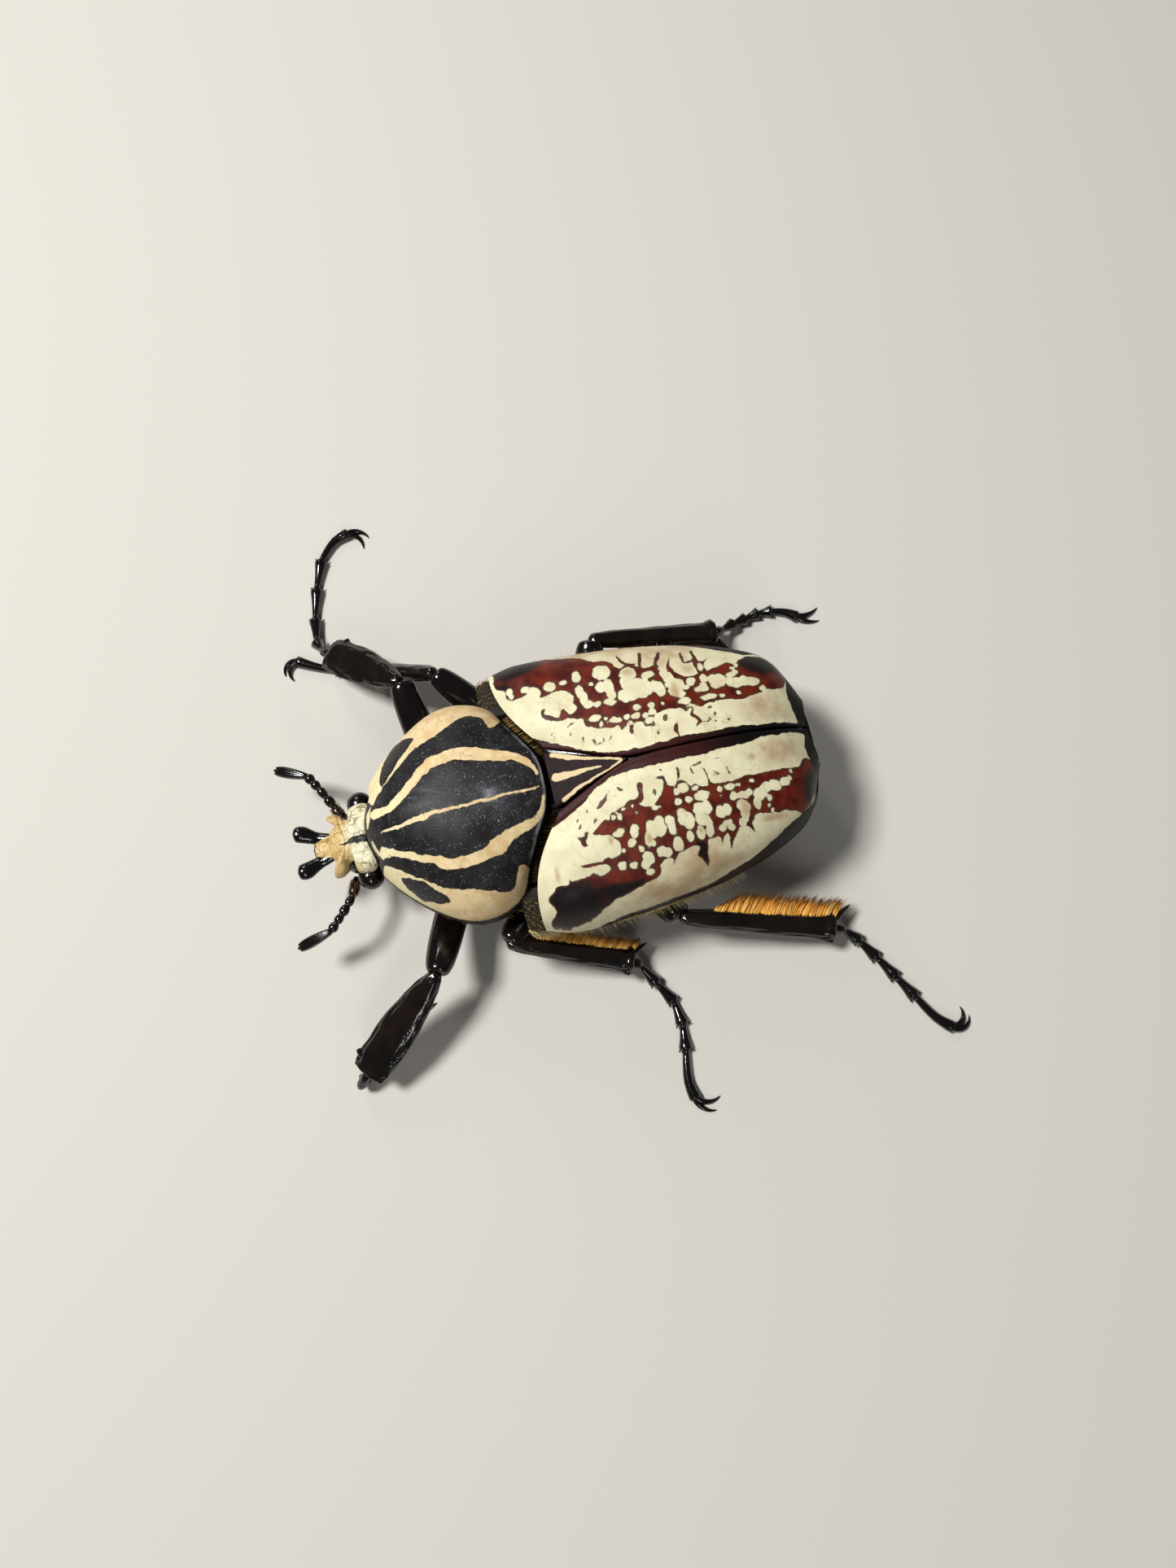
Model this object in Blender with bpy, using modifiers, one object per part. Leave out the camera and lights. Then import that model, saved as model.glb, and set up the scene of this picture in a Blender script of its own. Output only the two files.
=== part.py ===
"""Goliath beetle at life size, standing still: shell plates, head with forked horn, feelers and six legs.

Lengths are written in millimetres and MM turns them to metres.
The head points to -Y, the tail to +Y, the beetle's left side to +X, and its feet stand on z = 0.
"""
import math

import bmesh
import bpy
from mathutils import Matrix, Vector

MM = 0.001
GAP = 0.3
MERGE = 0.00001

# Where the body's own frame sits in the part's frame: its y = 0 is the scutellum's front edge
BODY_X = 2.4
BODY_Y = -3.3

# Rounding of the main forms: 2 is an ellipse, more is squarer, less is sharper
ELYTRON_POWER = 2.35
BELLY_POWER = 1.5
PRONOTUM_POWER = 2.3

# Shell and plate sizes
ELYTRON_WALL = 0.6
SHELL_INSET = 1.0
SHOULDER_BULGE = 1.1
PROTHORAX_YAW = 1.7

# Three-cornered plate between the wing cases
SCUTELLUM_FRONT = 0.35
SCUTELLUM_TIP = 7.7
SCUTELLUM_HALF_WIDTH = 2.9
SCUTELLUM_HEIGHT = 16.75
SCUTELLUM_THICK = 0.8

# Wedge plate at the shoulder: its four corners seen from above, its lower and upper height, its slope outwards
MESEPIMERON_CORNERS = {
    (-1, -1): (8.4, -5.2), (1, -1): (12.5, -4.9), (1, 1): (12.9, -2.9), (-1, 1): (8.4, -1.2),
}
MESEPIMERON_HEIGHTS = (7.4, 11.8)
MESEPIMERON_SLOPE = 0.9
MESEPIMERON_EDGE = 0.25

# Tail plate under the tips of the wing cases: half width, half height and half thickness
PYGIDIUM_CENTRE = (0.0, 23.7, 8.7)
PYGIDIUM_RADII = (7.4, 3.1, 0.75)
PYGIDIUM_SLOPE = 38.0

# Inner edge of the left elytron, from the scutellum's corner along the suture to the tip
ELYTRON_CREST = (
    (3.1, 0.5, 16.5), (1.75, 3.7, 17.4), (0.4, 7.2, 18.0), (0.16, 10.2, 18.3), (0.16, 13.4, 18.2),
    (0.16, 16.6, 17.7), (0.16, 19.6, 16.8), (0.16, 22.4, 15.3), (0.16, 25.0, 13.0),
)
# Outer edge of the left elytron, from the shoulder to the tip
ELYTRON_EDGE = (
    (12.7, -3.3, 11.0), (13.4, -0.8, 10.0), (13.4, 3.2, 9.4), (13.1, 7.4, 9.2), (12.5, 11.6, 9.2),
    (11.6, 15.8, 9.3), (10.3, 19.8, 9.6), (8.0, 23.5, 10.1), (3.3, 25.7, 11.0),
)
# Belly line under those stations
BELLY = (
    (0.0, 1.2, 3.7), (0.0, 2.5, 3.4), (0.0, 5.0, 3.3), (0.0, 8.0, 3.4), (0.0, 11.2, 3.6),
    (0.0, 14.4, 4.0), (0.0, 17.4, 4.7), (0.0, 20.0, 5.9), (0.0, 22.6, 7.6),
)
# Left half of the pronotum's rim, from the front centre round to the rear centre
PRONOTUM_RIM = (
    (0.0, -18.05, 11.2), (1.7, -17.8, 10.6), (3.1, -17.4, 9.7), (4.3, -17.4, 9.0), (5.6, -16.5, 8.8),
    (7.1, -15.1, 8.7), (8.7, -13.2, 8.6),
    (10.2, -10.8, 8.6), (10.8, -8.4, 8.8), (10.4, -6.0, 9.2), (9.2, -4.1, 10.0), (7.0, -2.9, 12.8),
    (4.6, -1.5, 15.2), (2.4, -0.3, 16.3), (0.0, 0.0, 16.6),
)
PRONOTUM_TOP = (0.0, -7.6, 17.7)
PRONOTUM_BASE = (0.0, -9.0, 4.6)

# Left half of the head plate's rim, from the rear centre round to the front centre
HEAD_RIM = (
    (0.0, -18.45, 10.1), (1.5, -18.2, 9.9), (2.7, -17.85, 9.4), (3.35, -18.2, 8.9), (3.5, -19.0, 8.6),
    (3.3, -19.85, 8.4), (2.8, -20.1, 8.3), (2.25, -20.05, 8.4), (2.35, -20.75, 8.1), (2.9, -21.2, 7.8),
    (3.2, -21.8, 7.5), (3.1, -22.55, 7.2), (2.65, -22.5, 7.3), (2.25, -21.75, 7.6), (1.75, -21.95, 7.65),
    (1.3, -22.4, 7.7), (0.0, -22.55, 7.9),
)
HEAD_TOP = (0.0, -19.8, 10.3)
HEAD_PLATE_THICK = 1.1
HEAD_CAPSULE = (0.0, -19.4, 7.2)
HEAD_CAPSULE_RADII = (3.3, 2.9, 2.5)

EYE_CENTRE = (3.7, -19.1, 7.4)
EYE_RADIUS = 1.35

# Horn: a flat stem that forks into two round knobs
HORN_STEM = (
    (0.0, -21.5, 7.7, 0.0, 0.0), (0.0, -21.6, 7.7, 1.5, 0.45), (0.0, -22.6, 7.5, 1.2, 0.5),
    (0.0, -23.4, 7.35, 1.15, 0.5), (0.0, -24.1, 7.3, 1.0, 0.42), (0.0, -24.4, 7.3, 0.0, 0.0),
)
HORN_FORK = (
    (0.85, -22.3, 7.6, 0.0, 0.0), (0.9, -22.5, 7.55, 0.35, 0.4), (1.05, -23.2, 7.45, 0.45, 0.45),
    (1.25, -23.9, 7.4, 0.5, 0.5), (1.55, -24.6, 7.5, 0.66, 0.6), (1.85, -25.25, 7.65, 0.8, 0.7),
    (1.9, -25.9, 7.8, 0.55, 0.5), (1.9, -26.15, 7.85, 0.0, 0.0),
)

# Feelers: joints from the root to the club, then the club's tip
ANTENNA_LEFT = ((2.6, -20.9, 6.0), (4.4, -21.6, 6.4), (6.0, -22.9, 6.7), (7.3, -24.3, 6.5))
ANTENNA_LEFT_TIP = (8.2, -28.0, 5.9)
ANTENNA_RIGHT = ((-3.0, -21.0, 6.0), (-5.0, -21.8, 6.4), (-7.1, -22.9, 6.7), (-8.7, -23.9, 6.5))
ANTENNA_RIGHT_TIP = (-10.3, -27.3, 6.0)
SCAPE_RADIUS = 0.5
BEAD_RADIUS = 0.36
CLUB_RADII = (0.62, 0.5)

# Leg places: hip, knee and ankle, then the ends of the foot's joints, the last of which has a bend half way
LEGS = {
    "front_left": {
        "hip": (5.2, -11.3, 3.8), "knee": (13.9, -14.7, 7.6), "ankle": (21.5, -24.1, 3.5),
        "foot": ((22.5, -25.4, 1.6), (21.7, -25.0, 0.5), (20.5, -23.7, 0.46), (19.3, -22.3, 0.46),
                 (18.3, -21.0, 0.46), (17.5, -20.0, 0.46), (16.8, -19.0, 0.46)),
    },
    "front_right": {
        "hip": (-5.2, -10.9, 3.8), "knee": (-15.9, -12.6, 7.6), "ankle": (-22.5, -20.0, 3.3),
        "foot": ((-23.3, -20.9, 2.2), (-24.9, -21.6, 1.0), (-27.9, -21.4, 0.46), (-31.4, -20.6, 0.46),
                 (-34.6, -19.5, 0.46), (-36.4, -17.8, 0.46), (-37.1, -15.9, 0.46)),
    },
    "middle_left": {
        "hip": (5.2, 0.2, 3.6), "knee": (12.5, -7.4, 7.2), "ankle": (16.7, 4.0, 2.6),
        "foot": ((17.3, 4.5, 1.9), (19.3, 5.7, 0.8), (21.5, 7.0, 0.46), (23.9, 7.3, 0.46),
                 (26.4, 7.0, 0.46), (29.2, 6.5, 0.46), (31.2, 6.8, 0.46)),
    },
    "middle_right": {
        "hip": (-5.2, 0.2, 3.6), "knee": (-15.7, -8.9, 8.0), "ankle": (-19.5, -16.2, 2.2),
        "foot": ((-19.9, -16.9, 1.6), (-20.4, -17.7, 0.8), (-20.9, -18.5, 0.46), (-21.2, -19.3, 0.46),
                 (-21.4, -20.1, 0.46), (-22.5, -22.4, 0.46), (-23.6, -24.3, 0.46)),
    },
    "hind_left": {
        "hip": (5.6, 5.2, 3.6), "knee": (14.0, 9.4, 7.0), "ankle": (18.2, 24.3, 2.7),
        "foot": ((18.5, 25.2, 1.9), (19.8, 26.5, 0.8), (21.9, 27.9, 0.46), (24.2, 29.2, 0.46),
                 (26.5, 30.5, 0.46), (28.8, 31.8, 0.46), (30.3, 33.3, 0.46)),
    },
    "hind_right": {
        "hip": (-5.6, 4.8, 3.6), "knee": (-15.5, 7.3, 7.4), "ankle": (-14.6, 20.6, 2.9),
        "foot": ((-15.1, 21.4, 2.0), (-15.8, 22.9, 1.1), (-16.2, 24.4, 0.6), (-16.5, 25.9, 0.46),
                 (-16.4, 27.4, 0.46), (-15.9, 28.8, 0.46), (-15.1, 29.9, 0.46)),
    },
}
# Half width and half thickness of each length of leg, front legs first
FEMUR_SIZE = {"front": (1.65, 1.15), "middle": (1.6, 1.15), "hind": (1.75, 1.15)}
TIBIA_SIZE = {"front": (1.9, 0.75), "middle": (1.0, 0.85), "hind": (1.0, 0.85)}
COXA_RADII = {"front": (2.6, 1.6, 1.5), "middle": (2.5, 1.8, 1.3), "hind": (3.2, 2.1, 1.2)}
# Swelling along each length of leg: place along it, share of its half width, share of its half thickness
FEMUR_SHAPE = (
    (0.0, 0.0, 0.0), (0.01, 0.45, 0.5), (0.1, 0.8, 0.85), (0.3, 1.0, 1.0), (0.6, 1.0, 1.0),
    (0.85, 0.88, 0.92), (0.97, 0.68, 0.78), (1.0, 0.36, 0.42), (1.01, 0.0, 0.0),
)
FRONT_TIBIA_SHAPE = (
    (0.0, 0.0, 0.0), (0.02, 0.3, 0.7), (0.12, 0.55, 1.0), (0.3, 0.8, 1.0), (0.55, 1.0, 1.0),
    (0.82, 1.0, 0.95), (0.96, 0.9, 0.8), (0.995, 0.7, 0.55), (1.0, 0.0, 0.0),
)
TIBIA_SHAPE = (
    (0.0, 0.0, 0.0), (0.02, 0.6, 0.7), (0.1, 0.85, 0.95), (0.3, 0.85, 0.9), (0.6, 0.95, 0.9),
    (0.9, 1.15, 1.05), (0.98, 1.0, 0.95), (1.0, 0.0, 0.0),
)
# Tooth on the outer corner of a front shin: reach from its root and half width
TOOTH_SHAPE = ((0.0, 0.0), (0.05, 0.75), (0.7, 0.6), (1.2, 0.3), (1.45, 0.0))
TOOTH_BACK = 1.7
TOOTH_OUT = 0.9

# Foot: its radius, and its swelling along each joint and along the last one
FOOT_RADIUS = 0.52
FOOT_SHAPE = ((0.04, 0.62), (0.45, 0.8), (0.76, 1.03), (0.94, 1.08))
LAST_JOINT_SHAPE = ((0.02, 0.55), (0.2, 0.72), (0.45, 0.85), (0.7, 1.0), (0.96, 1.03))
CLAW_LENGTH = 2.6
CLAW_RADIUS = 0.34
CLAW_SPREAD = 16.0
# How far each foot's claws turn sideways along their length, in degrees, seen from above
CLAW_TURN = {
    "front_left": 0.0, "front_right": -100.0, "middle_left": 95.0, "middle_right": 150.0,
    "hind_left": 140.0, "hind_right": 60.0,
}
CLAW_DROP = 0.13
SPUR_LENGTH = {"middle": 2.3, "hind": 2.9}
SPUR_RADIUS = 0.3
# How far each of the two spurs leans along the shin
SPUR_LEAN = (0.35, 0.8)

# Fringe of stiff orange hair along the middle and hind shins, as flat tapered locks
FRINGE_LOCKS = 11
FRINGE_LENGTH = {"middle": 1.3, "hind": 2.1}
FRINGE_SPAN = (0.22, 0.95)
# How far each comb is turned down from level, in degrees
FRINGE_TILT = {"middle_left": 0.0, "middle_right": 55.0, "hind_left": 0.0, "hind_right": 35.0}
LOCK_HALF_WIDTH = 0.75
LOCK_HALF_THICK = 0.27
LOCK_SHAPE = ((0.0, 0.0, 0.0), (0.04, 1.0, 1.0), (0.6, 0.95, 1.0), (0.88, 0.6, 1.0), (1.0, 0.0, 0.0))

# Faces around a leg, a foot or feeler, a claw or tooth, and a spur
LEG_SIDES = 10
THIN_SIDES = 8
CLAW_SIDES = 6
SPUR_SIDES = 5

PALETTE = {
    "cream": ((0.76, 0.70, 0.45), 0.45),
    "tan": ((0.72, 0.52, 0.27), 0.45),
    "charcoal": ((0.025, 0.02, 0.02), 0.5),
    "maroon": ((0.09, 0.015, 0.012), 0.35),
    "black": ((0.006, 0.004, 0.004), 0.25),
    "orange": ((0.75, 0.26, 0.02), 0.6),
}


def material(name):
    """Plain shader in one of the palette's colours."""
    found = bpy.data.materials.get(name)
    if found:
        return found
    made = bpy.data.materials.new(name)
    made.use_nodes = True
    shader = made.node_tree.nodes["Principled BSDF"]
    colour, roughness = PALETTE[name]
    shader.inputs["Base Color"].default_value = (*colour, 1.0)
    shader.inputs["Roughness"].default_value = roughness
    shader.inputs["Metallic"].default_value = 0.0
    made.diffuse_color = (*colour, 1.0)
    return made


def curve_value(points, i, f):
    """Point on a smooth curve between points[i] and points[i + 1], f of the way along."""
    last = len(points) - 1
    before, start = points[max(i - 1, 0)], points[i]
    end, after = points[min(i + 1, last)], points[min(i + 2, last)]
    return tuple(
        0.5 * (2 * b + (c - a) * f + (2 * a - 5 * b + 4 * c - d) * f ** 2 + (3 * b - a - 3 * c + d) * f ** 3)
        for a, b, c, d in zip(before, start, end, after)
    )


def along_curve(points, t):
    """Point at t, 0 to 1, on an open smooth curve through the points."""
    place = min(max(t, 0.0), 1.0) * (len(points) - 1)
    i = min(int(place), len(points) - 2)
    return curve_value(points, i, place - i)


def round_rim(half, t):
    """Point at t, 0 to 1, on the closed rim that a half rim and its mirror image make."""
    mirrored = [(-x, y, z) for x, y, z in reversed(half[1:-1])]
    loop = list(half) + mirrored
    count = len(loop)
    place = (t % 1.0) * count
    i = int(place) % count
    window = [loop[(i + k) % count] for k in (-1, 0, 1, 2)]
    return curve_value(window, 1, place - int(place))


def finish(name, bm, colour):
    """Object from a bmesh, in the part's own collection."""
    mesh = bpy.data.meshes.new(name)
    bm.to_mesh(mesh)
    bm.free()
    mesh.materials.append(material(colour))
    mesh.shade_smooth()
    obj = bpy.data.objects.new(name, mesh)
    parts.objects.link(obj)
    return obj


def wrap(name, surface, around, along, colour, closed=True):
    """Piece made from a grid sheet laid on surface(u, v): seams and poles that meet are merged."""
    bm = bmesh.new()
    bmesh.ops.create_grid(bm, x_segments=around, y_segments=along, size=0.5)
    for vert in bm.verts:
        place = Vector(surface(vert.co.x + 0.5, vert.co.y + 0.5))
        vert.co = (place + Vector((BODY_X, BODY_Y, 0.0))) * MM
    bmesh.ops.remove_doubles(bm, verts=bm.verts, dist=MERGE)
    if closed:
        bmesh.ops.recalc_face_normals(bm, faces=bm.faces)
    return finish(name, bm, colour)


def limb(name, stations, sides, colour, phase=0.0):
    """Loft through stations (x, y, z, half width, half thickness), closed at both ends."""
    centres = [Vector(station[:3]) for station in stations]
    last = len(stations) - 1

    def surface(u, v):
        i = round(v * last)
        tangent = (centres[min(i + 1, last)] - centres[max(i - 1, 0)]).normalized()
        across = tangent.cross(Vector((0.0, 0.0, 1.0))).normalized()
        lift = across.cross(tangent)
        turn = 2 * math.pi * (u + phase / sides)
        wide, thick = stations[i][3:5]
        return centres[i] + across * wide * math.cos(turn) + lift * thick * math.sin(turn)

    return wrap(name, surface, sides, last, colour)


def ball(name, centre, radii, colour, turn=0.0, sides=14, rings=10):
    """Ellipsoid from a sphere, turned about the upright axis by turn degrees."""
    bm = bmesh.new()
    bmesh.ops.create_uvsphere(bm, u_segments=sides, v_segments=rings, radius=1.0)
    place = Vector(centre) + Vector((BODY_X, BODY_Y, 0.0))
    matrix = Matrix.Translation(place * MM) @ Matrix.Rotation(math.radians(turn), 4, "Z")
    matrix = matrix @ Matrix.Diagonal((*[r * MM for r in radii], 1.0))
    bmesh.ops.transform(bm, matrix=matrix, verts=bm.verts)
    return finish(name, bm, colour)


def settle(obj):
    """Give an object the mesh that its modifiers make, and keep only its largest closed surface."""
    graph = bpy.context.evaluated_depsgraph_get()
    graph.update()
    mesh = bpy.data.meshes.new_from_object(obj.evaluated_get(graph))
    obj.modifiers.clear()
    obj.data = mesh
    bm = bmesh.new()
    bm.from_mesh(mesh)
    left = set(bm.faces)
    islands = []
    while left:
        island = {left.pop()}
        edge_of_island = list(island)
        while edge_of_island:
            face = edge_of_island.pop()
            for edge in face.edges:
                for other in edge.link_faces:
                    if other in left:
                        left.remove(other)
                        island.add(other)
                        edge_of_island.append(other)
        islands.append(island)
    islands.sort(key=lambda island: sum(face.calc_area() for face in island))
    scraps = [face for island in islands[:-1] for face in island]
    bmesh.ops.delete(bm, geom=scraps, context="FACES")
    bm.to_mesh(mesh)
    bm.free()
    mesh.shade_smooth()


def fuse(obj, others, solver="EXACT"):
    """Boolean union of an object with others, which are then removed."""
    group = bpy.data.collections.new("fused_" + obj.name)
    cutters.children.link(group)
    for other in others:
        group.objects.link(other)
        parts.objects.unlink(other)
    union = obj.modifiers.new("union", "BOOLEAN")
    union.operation = "UNION"
    union.operand_type = "COLLECTION"
    union.collection = group
    union.solver = solver
    settle(obj)
    for other in others:
        bpy.data.objects.remove(other)
    bpy.data.collections.remove(group)


def swollen(obj, by):
    """Copy of an object grown outwards by a distance."""
    copy = obj.copy()
    copy.data = obj.data.copy()
    copy.name = "room_for_" + obj.name
    normals = [vert.normal.copy() for vert in copy.data.vertices]
    for vert, normal in zip(copy.data.vertices, normals):
        vert.co += normal * by * MM
    cutters.objects.link(copy)
    copy.hide_render = True
    copy.display_type = "WIRE"
    return copy


def clear_of(obj, neighbours, gap=GAP):
    """Cut an object back so that it meets its neighbours face to face across the gap."""
    for neighbour in neighbours:
        cutter = swollen(neighbour, gap)
        cut = obj.modifiers.new("cut", "BOOLEAN")
        cut.operation = "DIFFERENCE"
        cut.object = cutter
        cut.solver = "MANIFOLD"
        settle(obj)
        bpy.data.objects.remove(cutter)


def keep_above_floor(obj):
    """Flatten what would reach under the floor into a small flat on it."""
    for vert in obj.data.vertices:
        vert.co.z = max(vert.co.z, 0.0)


def yawed(point):
    """Point of the prothorax or head, turned with them about the rear of the pronotum."""
    turn = math.radians(PROTHORAX_YAW)
    x, y, z = point[:3]
    return (x * math.cos(turn) + y * math.sin(turn), y * math.cos(turn) - x * math.sin(turn), z)


def yawed_station(station):
    """Loft station turned with the head."""
    return (*yawed(station), *station[3:])


def elytron_surface(side, u, v):
    """Outer face of an elytron: u runs from the suture to the outer edge, v from front to tip."""
    crest = along_curve(ELYTRON_CREST, v)
    edge = along_curve(ELYTRON_EDGE, v)
    reach = math.sin(u * math.pi / 2) ** (2 / ELYTRON_POWER)
    rise = max(math.cos(u * math.pi / 2), 0.0) ** (2 / ELYTRON_POWER)
    x = crest[0] + (edge[0] - crest[0]) * reach
    y = crest[1] + (edge[1] - crest[1]) * reach - SHOULDER_BULGE * math.sin(math.pi * reach) * (1 - v) ** 4
    z = edge[2] + (crest[2] - edge[2]) * rise
    return (side * x, y, z)


def make_elytron(name, side):
    """Wing case: a curved shell with a wall of its own."""
    shell = wrap(name, lambda u, v: elytron_surface(side, u, v), 11, 16, "cream", closed=False)
    bm = bmesh.new()
    bm.from_mesh(shell.data)
    upward = sum(face.normal.z * face.calc_area() for face in bm.faces)
    if upward < 0:
        bmesh.ops.reverse_faces(bm, faces=bm.faces)
    bm.to_mesh(shell.data)
    bm.free()
    wall = shell.modifiers.new("wall", "SOLIDIFY")
    wall.thickness = ELYTRON_WALL * MM
    wall.offset = -1.0
    settle(shell)
    return shell


def trunk_ring(u, v, shrink):
    """Section of the trunk under the wing cases: u = 0 is the back, 0.5 the belly."""
    crest = along_curve(ELYTRON_CREST, v)
    edge = along_curve(ELYTRON_EDGE, v)
    belly = along_curve(BELLY, v)
    side = 1.0 if u <= 0.5 else -1.0
    turn = (u if u <= 0.5 else 1.0 - u) * 2 * math.pi
    top = (0.0, max(crest[1], 1.2), crest[2] - SHELL_INSET)
    rim = (edge[0] - SHELL_INSET, edge[1] + SHELL_INSET * (1 - v) - 0.4 * v, edge[2] - 0.2)
    if turn <= math.pi / 2:
        far, power = top, ELYTRON_POWER
    else:
        far, power = belly, BELLY_POWER
    reach = max(math.sin(turn), 0.0) ** (2 / power)
    rise = abs(math.cos(turn)) ** (2 / power)
    x = rim[0] * reach
    y = far[1] + (rim[1] - far[1]) * reach
    z = rim[2] + (far[2] - rim[2]) * rise
    middle = (0.0, (crest[1] + belly[1]) / 2, (top[2] + belly[2]) / 2)
    grow = 1.0 - shrink
    return (
        side * (middle[0] + (x - middle[0]) * grow),
        middle[1] + (y - middle[1]) * grow,
        middle[2] + (z - middle[2]) * grow,
    )


def make_trunk(name, first, last, rows, colour):
    """Length of the trunk between two stations, closed by flat ends."""
    along = rows + 2

    def surface(u, v):
        row = round(v * along)
        if row == 0 or row == along:
            return trunk_ring(u, first if row == 0 else last, 1.0)
        return trunk_ring(u, first + (last - first) * (row - 1) / rows, 0.0)

    return wrap(name, surface, 24, along, colour)


def pronotum_surface(u, v):
    """Prothorax: v = 0 is the top of the dome, 0.5 its rim and 1 the underside's middle."""
    rim = round_rim(PRONOTUM_RIM, u)
    under = v > 0.5
    turn = (1.0 - v if under else v) * math.pi
    end_wall = abs(math.cos(2 * math.pi * u)) ** 4
    far = PRONOTUM_BASE if under else PRONOTUM_TOP
    power = 1.25 + 3.0 * end_wall if under else PRONOTUM_POWER
    reach = math.sin(turn) ** (2 / power)
    rise = max(math.cos(turn), 0.0) ** (2 / power)
    return yawed((
        far[0] + (rim[0] - far[0]) * reach,
        far[1] + (rim[1] - far[1]) * reach,
        rim[2] + (far[2] - rim[2]) * rise,
    ))


def head_plate_surface(u, v):
    """Cream plate over the head, with its ear-like lobes: a low dome over a flat underside."""
    rim = round_rim(HEAD_RIM, u)
    under = v > 0.5
    turn = (1.0 - v if under else v) * math.pi
    reach = math.sin(turn)
    rise = max(math.cos(turn), 0.0)
    top = HEAD_TOP[2] if not under else HEAD_TOP[2] - HEAD_PLATE_THICK - 1.2
    thick = 0.0 if not under else HEAD_PLATE_THICK * (1.0 - reach ** 8)
    return yawed((
        HEAD_TOP[0] + (rim[0] - HEAD_TOP[0]) * reach,
        HEAD_TOP[1] + (rim[1] - HEAD_TOP[1]) * reach,
        rim[2] + (top - rim[2]) * rise - thick,
    ))


def make_head():
    """Head: cream plate with lobes over a dark capsule."""
    head = wrap("head", head_plate_surface, 26, 8, "cream")
    capsule = ball("capsule", yawed(HEAD_CAPSULE), HEAD_CAPSULE_RADII, "black", -PROTHORAX_YAW)
    fuse(head, [capsule])
    return head


def make_horn():
    """Forked horn on the front of the head."""
    horn = limb("horn", [yawed_station(s) for s in HORN_STEM], THIN_SIDES, "tan")
    forks = []
    for side in (1, -1):
        stations = [yawed_station((side * s[0], *s[1:])) for s in HORN_FORK]
        forks.append(limb("fork", stations, THIN_SIDES, "tan"))
    fuse(horn, forks)
    return horn


def make_antenna(name, joints, tip):
    """Feeler: a stout first joint, small beads and a club."""
    root = Vector(joints[0]).lerp(Vector(joints[1]), -0.05)
    stations = [(*root, 0.0, 0.0), (*joints[0], SCAPE_RADIUS * 0.7, SCAPE_RADIUS * 0.7)]
    for i, (start, end) in enumerate(zip(joints, joints[1:])):
        start, end = Vector(start), Vector(end)
        radius = SCAPE_RADIUS if i == 0 else BEAD_RADIUS
        beads = 1 if i == 0 else 2
        for bead in range(beads):
            for part, size in ((0.3, 0.95), (0.7, 1.1), (0.98, 0.72)):
                place = start.lerp(end, (bead + part) / beads)
                stations.append((*place, radius * size, radius * size))
    start, end = Vector(joints[-1]), Vector(tip)
    for t, size in ((0.12, 0.8), (0.4, 1.1), (0.75, 1.0), (0.94, 0.6)):
        stations.append((*start.lerp(end, t), CLUB_RADII[0] * size, CLUB_RADII[1] * size))
    stations.append((*end, 0.0, 0.0))
    return limb(name, stations, THIN_SIDES, "black")


def make_scutellum():
    """Three-cornered plate between the wing cases."""
    length = SCUTELLUM_TIP - SCUTELLUM_FRONT
    middle_y = SCUTELLUM_FRONT + length / 3

    def surface(u, v):
        turn = 2 * math.pi * u
        spread = (min(v, 1.0 - v) * 2) ** 0.7
        back = 0.5 - 0.5 * math.cos(turn)
        side = 0.0 if u in (0.0, 0.5, 1.0) else math.copysign(1.0, 0.5 - u)
        x = side * SCUTELLUM_HALF_WIDTH * (1.0 - back) * spread
        y = middle_y + (SCUTELLUM_FRONT + length * back - middle_y) * spread
        z = SCUTELLUM_HEIGHT + 0.14 * (y - SCUTELLUM_FRONT) - 0.02 * x * x
        return (x, y, z if v <= 0.5 else z - SCUTELLUM_THICK)

    return wrap("scutellum", surface, 20, 5, "maroon")


def make_mesepimeron(name, side):
    """Wedge plate that shows between the pronotum's rear corner and the wing case's shoulder."""
    low, high = MESEPIMERON_HEIGHTS
    bm = bmesh.new()
    bmesh.ops.create_cube(bm, size=2.0)
    for vert in bm.verts:
        x, y = MESEPIMERON_CORNERS[(round(vert.co.x), round(vert.co.y))]
        z = high if vert.co.z > 0 else low
        if vert.co.z > 0 and vert.co.x > 0:
            z -= MESEPIMERON_SLOPE
        if vert.co.z < 0:
            x -= MESEPIMERON_SLOPE
        vert.co = Vector((side * x + BODY_X, y + BODY_Y, z)) * MM
    if side < 0:
        bmesh.ops.reverse_faces(bm, faces=bm.faces)
    bmesh.ops.bevel(
        bm, geom=bm.edges[:], offset=MESEPIMERON_EDGE * MM, affect="EDGES", segments=2, profile=0.5, material=-1,
    )
    return finish(name, bm, "charcoal")


def make_pygidium():
    """Plate that closes the tail under the tips of the wing cases."""
    slope = math.radians(PYGIDIUM_SLOPE)

    def surface(u, v):
        turn = 2 * math.pi * u
        depth = math.pi * v
        x = PYGIDIUM_RADII[0] * math.sin(depth) * math.sin(turn)
        lift = PYGIDIUM_RADII[1] * math.sin(depth) * math.cos(turn)
        out = PYGIDIUM_RADII[2] * math.cos(depth)
        y = PYGIDIUM_CENTRE[1] + lift * math.sin(slope) + out * math.cos(slope)
        z = PYGIDIUM_CENTRE[2] + lift * math.cos(slope) - out * math.sin(slope)
        return (x, y, z)

    return wrap("pygidium", surface, 20, 8, "black")


def rounded(start, end, wide, thick, shape, bow=(0.0, 0.0, 0.0)):
    """Loft stations along a straight or bowed length, from shape (t, width share, thickness share)."""
    start, end, bow = Vector(start), Vector(end), Vector(bow)
    stations = []
    for t, w, h in shape:
        place = start.lerp(end, t) + bow * math.sin(math.pi * t)
        stations.append((*place, wide * w, thick * h))
    return stations


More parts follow.
